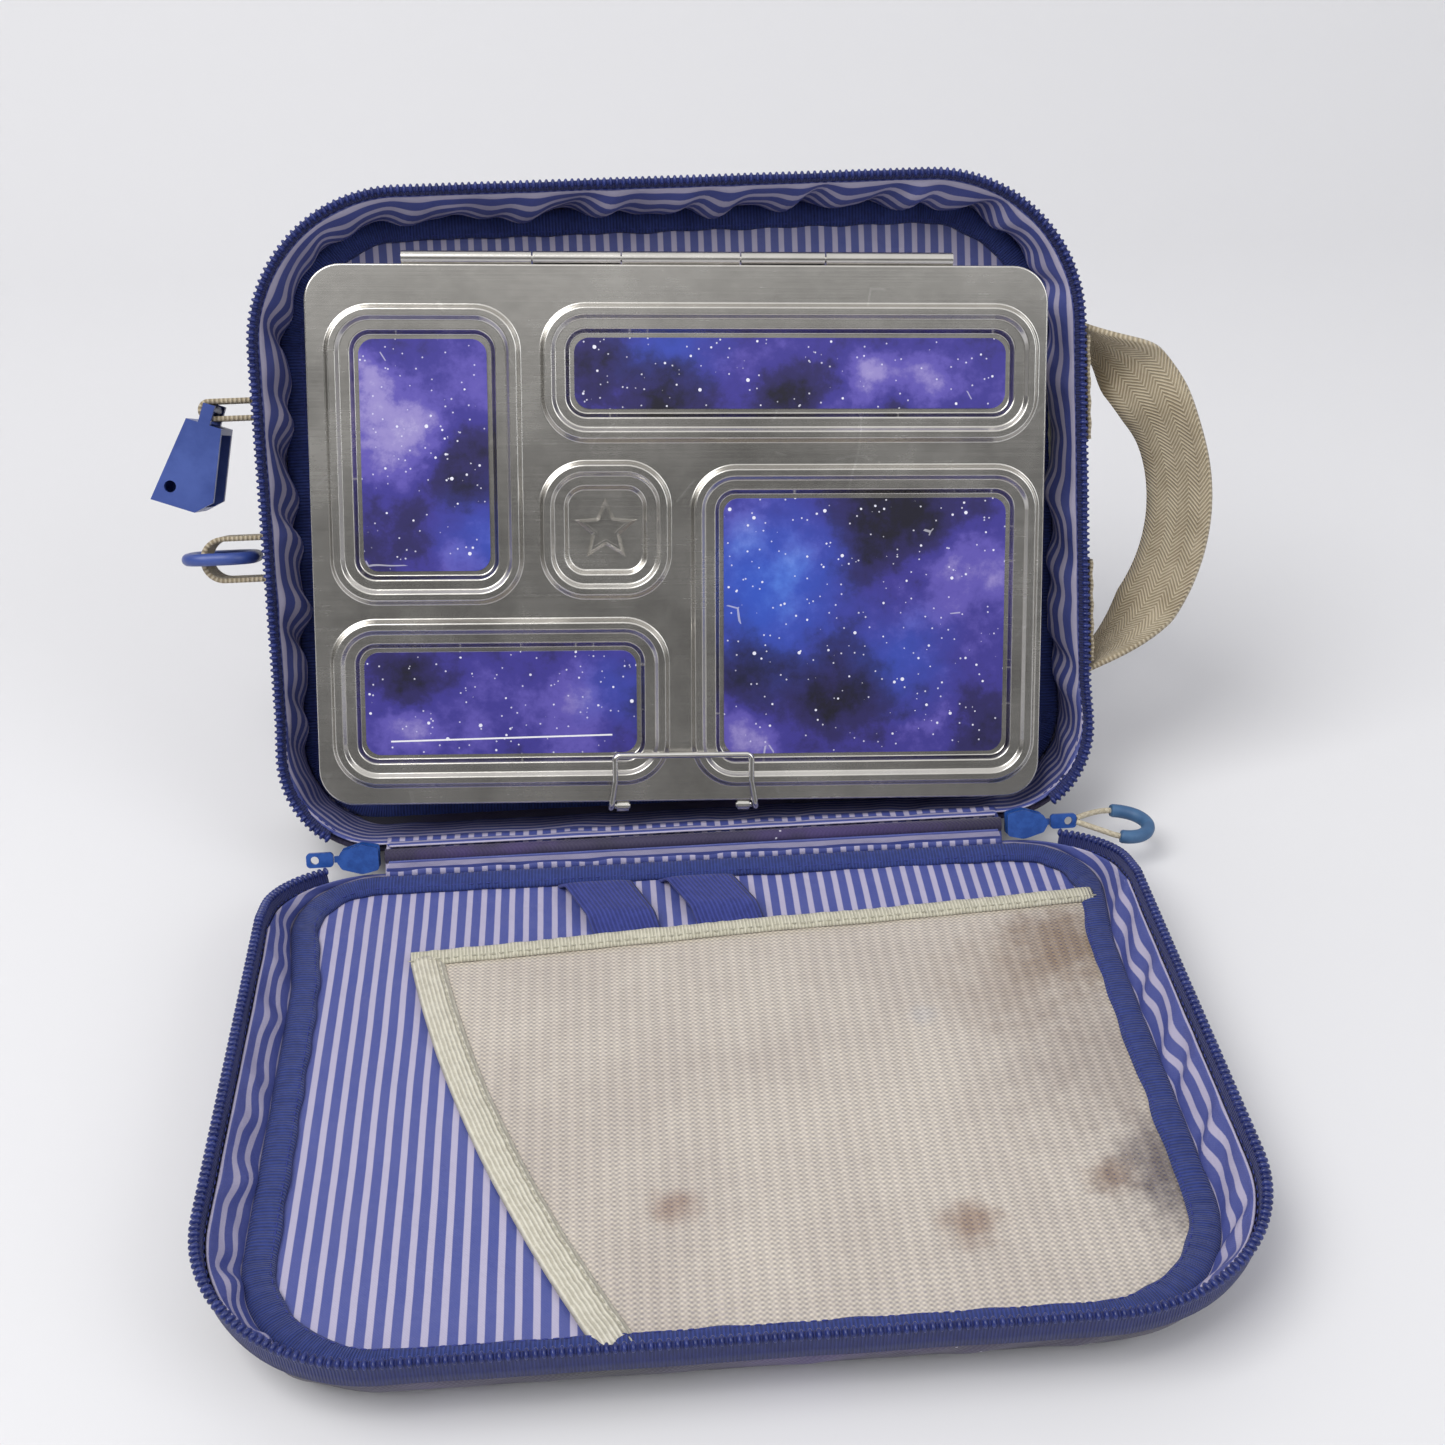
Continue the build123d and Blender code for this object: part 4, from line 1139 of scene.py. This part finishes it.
def make_steel_material(name, tone, rough, brushed):
    material, shader, nodes, links = new_material(name)
    place = object_place(nodes)
    across, up = lid_axes(nodes, links, place)
    stretched = nodes.new("ShaderNodeCombineXYZ")
    links.new(math_node(nodes, links, "MULTIPLY", across, 14.0), stretched.inputs["X"])
    links.new(math_node(nodes, links, "MULTIPLY", up, 1500.0), stretched.inputs["Y"])
    grain = noise_value(nodes, links, stretched.outputs[0], 1.0, 3)
    smear = noise_value(nodes, links, place, 17, 5, 0.65)
    marks = noise_value(nodes, links, place, 70, 4, 0.7)
    dull = colour_ramp(nodes, links, smear, [(0.35, tuple(c * 0.86 for c in tone)), (0.65, tone)])
    lines = scratch_lines(nodes, links, place, 34, 0.3, 0.012, 0.60)
    faint = math_node(nodes, links, "MULTIPLY", lines, 0.2)
    links.new(mix_colour(nodes, links, faint, dull, (0.86, 0.85, 0.84)), shader.inputs["Base Color"])
    shader.inputs["Metallic"].default_value = 1.0
    rough_value = math_node(nodes, links, "MULTIPLY_ADD", grain, brushed, rough - brushed / 2)
    rough_value = math_node(nodes, links, "MULTIPLY_ADD", smear, 0.16, rough_value)
    links.new(math_node(nodes, links, "MULTIPLY_ADD", marks, 0.08, rough_value), shader.inputs["Roughness"])
    soft = add_bump(nodes, links, shader, smear, 0.0006, 0.2)
    add_bump(nodes, links, shader, grain, 0.00001, 0.6, under=soft)
    return material


satin_steel = make_steel_material("satin steel", (0.62, 0.605, 0.58), 0.13, 0.08)
drawn_steel = make_steel_material("drawn steel", (0.66, 0.65, 0.635), 0.10, 0.04)
for node_name in ("lid", "tray", "hinge_rod"):
    dress(node_name, satin_steel)
dress("bail", drawn_steel)

# ---- Printed magnets
# Four thin printed sheets lie in the lid's pressed panels: a night sky in violet and blue with stars. The
# lower left one has a thin white line to write a name on.

cloud_list = (  # across and down from the lid's upper left corner, radius, and how pale (or dark) it is
    (0.026, 0.052, 0.019, 0.42), (0.020, 0.036, 0.012, 0.30), (0.050, 0.064, 0.018, -0.20),
    (0.026, 0.088, 0.016, -0.16), (0.046, 0.098, 0.011, 0.20), (0.052, 0.034, 0.013, 0.10),
    (0.094, 0.030, 0.014, -0.30), (0.118, 0.046, 0.016, -0.34), (0.139, 0.030, 0.012, 0.10),
    (0.160, 0.040, 0.013, -0.28), (0.186, 0.036, 0.012, 0.36), (0.203, 0.038, 0.010, 0.30),
    (0.222, 0.034, 0.014, 0.05), (0.028, 0.134, 0.013, -0.30), (0.030, 0.153, 0.012, 0.22),
    (0.060, 0.146, 0.015, 0.05), (0.082, 0.148, 0.015, 0.26), (0.100, 0.140, 0.012, 0.05),
    (0.196, 0.078, 0.030, -0.34), (0.142, 0.084, 0.013, 0.26), (0.158, 0.104, 0.020, 0.10),
    (0.220, 0.104, 0.020, 0.26), (0.204, 0.118, 0.014, 0.14), (0.176, 0.142, 0.026, -0.30),
    (0.144, 0.134, 0.016, -0.22), (0.142, 0.158, 0.014, 0.26), (0.222, 0.150, 0.018, -0.16),
    (0.206, 0.152, 0.010, 0.24),
)
blue_list = ((0.150, 0.106, 0.044, 0.95), (0.118, 0.022, 0.026, 0.55), (0.060, 0.088, 0.026, 0.55),
             (0.196, 0.128, 0.026, 0.55), (0.100, 0.140, 0.020, 0.35))
star_layers = ((420.0, 0.125, 0.40, 0.70), (260.0, 0.105, 0.55, 0.9), (120.0, 0.075, 0.45, 1.0))
name_line_down, name_line_middle, name_line_half, name_line_slope = 0.0655, 0.0608, 0.037, 0.020


def cloud_reach(nodes, links, drift, right, down, radius, amount):
    """A soft round patch: the full amount at its middle and nothing at its radius."""
    reach = add_node(nodes, "ShaderNodeVectorMath", operation="DISTANCE")
    links.new(drift.outputs[0], reach.inputs[0])
    reach.inputs[1].default_value = (right - box_width / 2, box_height / 2 - down, 0)
    fade = nodes.new("ShaderNodeMapRange")
    fade.interpolation_type = "SMOOTHSTEP"
    links.new(reach.outputs["Value"], fade.inputs["Value"])
    fade.inputs["From Max"].default_value = radius
    fade.inputs["To Min"].default_value = amount
    fade.inputs["To Max"].default_value = 0.0
    return fade.outputs["Result"]


def make_sky_material():
    material, shader, nodes, links = new_material("printed night sky")
    place = object_place(nodes)
    across, up = lid_axes(nodes, links, place)
    flat = nodes.new("ShaderNodeCombineXYZ")
    links.new(across, flat.inputs["X"])
    links.new(up, flat.inputs["Y"])
    spot = flat.outputs[0]
    warp = add_node(nodes, "ShaderNodeTexNoise", Scale=46.0, Detail=6.0, Roughness=0.66)
    links.new(spot, warp.inputs["Vector"])
    drift = add_node(nodes, "ShaderNodeVectorMath", operation="MULTIPLY_ADD")
    links.new(warp.outputs["Color"], drift.inputs[0])
    drift.inputs[1].default_value = (0.026, 0.026, 0)
    centred = add_node(nodes, "ShaderNodeVectorMath", operation="SUBTRACT")
    links.new(spot, centred.inputs[0])
    centred.inputs[1].default_value = (0.013, 0.013, 0)
    links.new(centred.outputs[0], drift.inputs[2])
    level = math_node(nodes, links, "MULTIPLY_ADD", noise_value(nodes, links, spot, 38, 8, 0.68), 0.95, -0.02)
    for right, down, radius, amount in cloud_list:
        fade = cloud_reach(nodes, links, drift, right, down, radius * 1.35, amount)
        level = math_node(nodes, links, "ADD", level, fade)
    violet = colour_ramp(nodes, links, level, [(0.10, (0.006, 0.005, 0.018)), (0.30, (0.022, 0.017, 0.110)),
                                              (0.47, (0.044, 0.035, 0.270)), (0.64, (0.110, 0.086, 0.420)),
                                              (0.82, (0.290, 0.245, 0.560)), (1.0, (0.560, 0.520, 0.740))])
    blue = colour_ramp(nodes, links, level, [(0.15, (0.010, 0.020, 0.120)), (0.5, (0.026, 0.085, 0.520)),
                                            (0.85, (0.100, 0.260, 0.800))])
    sky = violet
    for right, down, radius, amount in blue_list:
        bluer = cloud_reach(nodes, links, drift, right, down, radius, amount)
        sky = mix_colour(nodes, links, bluer, sky, blue)
    for scale, size, keep, bright in star_layers:
        dots = add_node(nodes, "ShaderNodeTexVoronoi", Scale=scale)
        links.new(spot, dots.inputs["Vector"])
        pick = nodes.new("ShaderNodeSeparateColor")
        links.new(dots.outputs["Color"], pick.inputs[0])
        near = math_node(nodes, links, "LESS_THAN", dots.outputs["Distance"], size)
        kept = math_node(nodes, links, "GREATER_THAN", pick.outputs["Red"], keep)
        lit = math_node(nodes, links, "MULTIPLY", math_node(nodes, links, "MULTIPLY", near, kept), bright)
        sky = mix_colour(nodes, links, lit, sky, (0.80, 0.80, 0.92))
    lines = scratch_lines(nodes, links, spot, 30, 0.9, 0.006, 0.63)
    sky = mix_colour(nodes, links, math_node(nodes, links, "MULTIPLY", lines, 0.45), sky, (0.75, 0.74, 0.82))
    line_level = math_node(nodes, links, "MULTIPLY_ADD", across, -name_line_slope, up)
    off_line = math_node(nodes, links, "ABSOLUTE", math_node(nodes, links, "ADD", line_level, name_line_down))
    on_line = math_node(nodes, links, "LESS_THAN", off_line, 0.00028)
    off_middle = math_node(nodes, links, "ABSOLUTE", math_node(nodes, links, "ADD", across, name_line_middle))
    within = math_node(nodes, links, "LESS_THAN", off_middle, name_line_half)
    in_line = math_node(nodes, links, "MULTIPLY", on_line, within)
    links.new(mix_colour(nodes, links, in_line, sky, (0.85, 0.85, 0.88)), shader.inputs["Base Color"])
    shader.inputs["Roughness"].default_value = 0.38
    shader.inputs["Coat Weight"].default_value = 0.3
    shader.inputs["Coat Roughness"].default_value = 0.2
    add_bump(nodes, links, shader, noise_value(nodes, links, place, 45, 2), 0.0004, 0.4)
    return material


sky_material = make_sky_material()
for corner in ("upper_left", "upper_right", "lower_left", "lower_right"):
    dress("magnet_" + corner, sky_material)

# ---- Webbing handle
# A twisted loop of beige cotton webbing with a herringbone weave, on the right side wall. Each end is sewn
# down under a square patch.

handle_low, handle_high, handle_reach, handle_width = 0.048, 0.168, 0.036, 0.025
side_level = -0.030


def make_webbing_material(name, dark, light):
    """Herringbone: slanting ribs that turn back at the middle of each narrow stripe."""
    material, shader, nodes, links = new_material(name)
    uv, along, across = cloth_place(nodes, links)
    folded = math_node(nodes, links, "PINGPONG", across, 0.0042)
    slanted = math_node(nodes, links, "ADD", along, folded)
    ribs = rib_height(nodes, links, slanted, 0.0015)
    grime = noise_value(nodes, links, uv, 75, 6, 0.7)
    dirt = math_node(nodes, links, "MULTIPLY", grime, 0.65)
    # The rib height darkens the colour in the low places of the weave: painted shade in the grooves, added to
    # the random grime.
    tone = math_node(nodes, links, "MULTIPLY_ADD", ribs, 0.35, dirt)
    links.new(colour_ramp(nodes, links, tone, [(0.25, dark), (0.75, light)]), shader.inputs["Base Color"])
    shader.inputs["Roughness"].default_value = 0.85
    shader.inputs["Sheen Weight"].default_value = 0.2
    fluff = add_bump(nodes, links, shader, noise_value(nodes, links, uv, 1500, 3), 0.00015)
    add_bump(nodes, links, shader, ribs, 0.00035, under=fluff)
    return material


def ribbon(name, centre, across, width, wall, material, place, columns=9):
    """A woven strap along a line of points, with its width along given directions."""
    run = np.concatenate([[0], np.cumsum(np.linalg.norm(centre[1:] - centre[:-1], axis=1))])
    offsets = np.linspace(-width / 2, width / 2, columns)
    points = centre[:, None] + across[:, None] * offsets[None, :, None]
    cloth = np.stack([np.broadcast_to(run[:, None], points.shape[:2]),
                      np.broadcast_to(offsets + width / 2, points.shape[:2])], -1)
    strap = grid_mesh(name, points, cloth, place)
    strap.data.materials.append(material)
    thicken(strap, wall)
    return strap


webbing = make_webbing_material("beige webbing", (0.27, 0.215, 0.135), (0.55, 0.475, 0.345))
span = handle_high - handle_low
bend_radius = ((span / 2) ** 2 + handle_reach ** 2) / (2 * handle_reach)
half_turn = np.arcsin(span / 2 / bend_radius)
angle = np.linspace(-half_turn, half_turn, 90)
share = np.linspace(0, 1, 90)
centre = np.stack([half_width + handle_reach - 0.0011 - bend_radius * (1 - np.cos(angle)),
                   (handle_low + handle_high) / 2 + (bend_radius - 0.0012) * np.sin(angle),
                   side_level + 0.003 * np.sin(pi * share)], -1)
outward_side = np.stack([np.cos(angle), np.sin(angle), 0 * angle], -1)
turn = radians(42) * np.clip(share / 0.22, 0, 1) ** 1.5 * np.clip((1 - share) / 0.18, 0, 1) ** 1.5
turn = turn + radians(30) * np.exp(-((share - 0.78) / 0.08) ** 2)
across = np.array([0, 0, 1.0]) * np.cos(turn)[:, None] + outward_side * np.sin(turn)[:, None]
handle = ribbon("webbing_handle", centre, across, handle_width, 0.0018, webbing, back_place)
finish_soft(handle, "bag_back", "webbing", "handle_strap")

patch_width, patch_height, patch_gap = 0.027, 0.035, 0.0045
beige_thread = make_thread_material("beige thread", (0.42, 0.35, 0.24))
side_place = back_place @ Matrix(((0, 0, 1, half_width), (1, 0, 0, 0), (0, 1, 0, side_level), (0, 0, 0, 1)))
for level, middle in (("upper", handle_high - patch_gap - patch_height / 2),
                      ("lower", handle_low + patch_gap + patch_height / 2)):
    run = np.linspace(-patch_height / 2, patch_height / 2, 24)
    soft = 0.0002 * np.sin(run * 900)
    centre = np.stack([half_width + 0.0008 + soft, middle + run, np.full_like(run, side_level)], -1)
    patch = ribbon(f"handle_patch_{level}_cloth", centre, np.tile([0, 0, 1.0], (24, 1)), patch_width, 0.0012,
                   webbing, back_place)
    finish_soft(patch, "bag_back", "webbing", "handle_patch_" + level)
    reach, side = patch_height / 2 - 0.0025, patch_width / 2 - 0.0025
    corners = np.array([(-reach, -side), (reach, -side), (reach, side), (-reach, side)])
    square = np.column_stack([corners + (middle, 0), np.full(4, 0.0017)])
    stitches = row_of_parts(f"handle_patch_{level}_stitches", square, side_place, stitch_pitch,
                            (0.0018, 0.0006, 0.0004), beige_thread, True)
    finish_soft(stitches, "bag_back", "webbing")

# ---- Care label
# A small blank tag of cream satin, caught in the right seam. It lies on the binding behind the steel box and
# curls up at its free end.

label_width, label_height, label_middle = 0.012, 0.032, 0.128


def make_label_material():
    material, shader, nodes, links = new_material("label satin")
    fleck = noise_value(nodes, links, object_place(nodes), 200)
    links.new(colour_ramp(nodes, links, fleck, [(0.3, (0.50, 0.50, 0.38)), (0.7, (0.62, 0.62, 0.50))]),
              shader.inputs["Base Color"])
    shader.inputs["Roughness"].default_value = 0.5
    return material


level = back_pad - back_outer + lining_wall + binding_wall
share = np.linspace(0, 1, 14)
run = half_width - inner_inset - label_width * share
curl = level + 0.0006 + 0.0022 * share ** 2
centre = np.stack([run, np.full_like(run, label_middle), curl], -1)
label = ribbon("care_tag", centre, np.tile([0, 1.0, 0], (14, 1)), label_height, 0.0003,
               make_label_material(), back_place)
finish_soft(label, "bag_back", "cream_tape", "care_label")

# ---- Side clip
# Two short loops of the beige webbing are sewn into the left side wall. One carries a hollow hook of moulded
# blue plastic, and the other an oval ring of the same plastic.

clip_width, clip_wall = 0.015, 0.0020


def make_plastic_material():
    material, shader, nodes, links = new_material("blue plastic")
    place = object_place(nodes)
    haze = noise_value(nodes, links, place, 60, 4, 0.6)
    links.new(colour_ramp(nodes, links, haze, [(0.35, (0.030, 0.060, 0.250)), (0.70, (0.052, 0.092, 0.330))]),
              shader.inputs["Base Color"])
    shader.inputs["Roughness"].default_value = 0.38
    add_bump(nodes, links, shader, noise_value(nodes, links, place, 900), 0.00004)
    return material


def strap_path(middle, reach, half):
    """The line of a strap that runs out from the left side, round a bar and back."""
    radius = half - clip_wall / 2
    bend = np.linspace(pi / 2, 3 * pi / 2, 24)
    out = [(-half_width - reach * s, middle + radius) for s in np.linspace(0, 1, 8)[:-1]]
    out += [(-half_width - reach + radius * cos(a), middle + radius * sin(a)) for a in bend]
    out += [(-half_width - reach * s, middle - radius) for s in np.linspace(1, 0, 8)[1:]]
    return np.array([(x, y, side_level) for x, y in out])


for level, middle, reach, half in (("upper", 0.150, 0.015, 0.0039), ("lower", 0.100, 0.014, 0.008)):
    centre = strap_path(middle, reach, half)
    strap = ribbon(f"clip_webbing_{level}", centre, np.tile([0, 0, 1.0], (len(centre), 1)), clip_width,
                   clip_wall * 0.8, webbing, back_place, 7)
    finish_soft(strap, "bag_back", "webbing", "clip_strap_" + level)
plastic = make_plastic_material()
for node_name in ("clip_hook", "clip_ring"):
    dress(node_name, plastic)
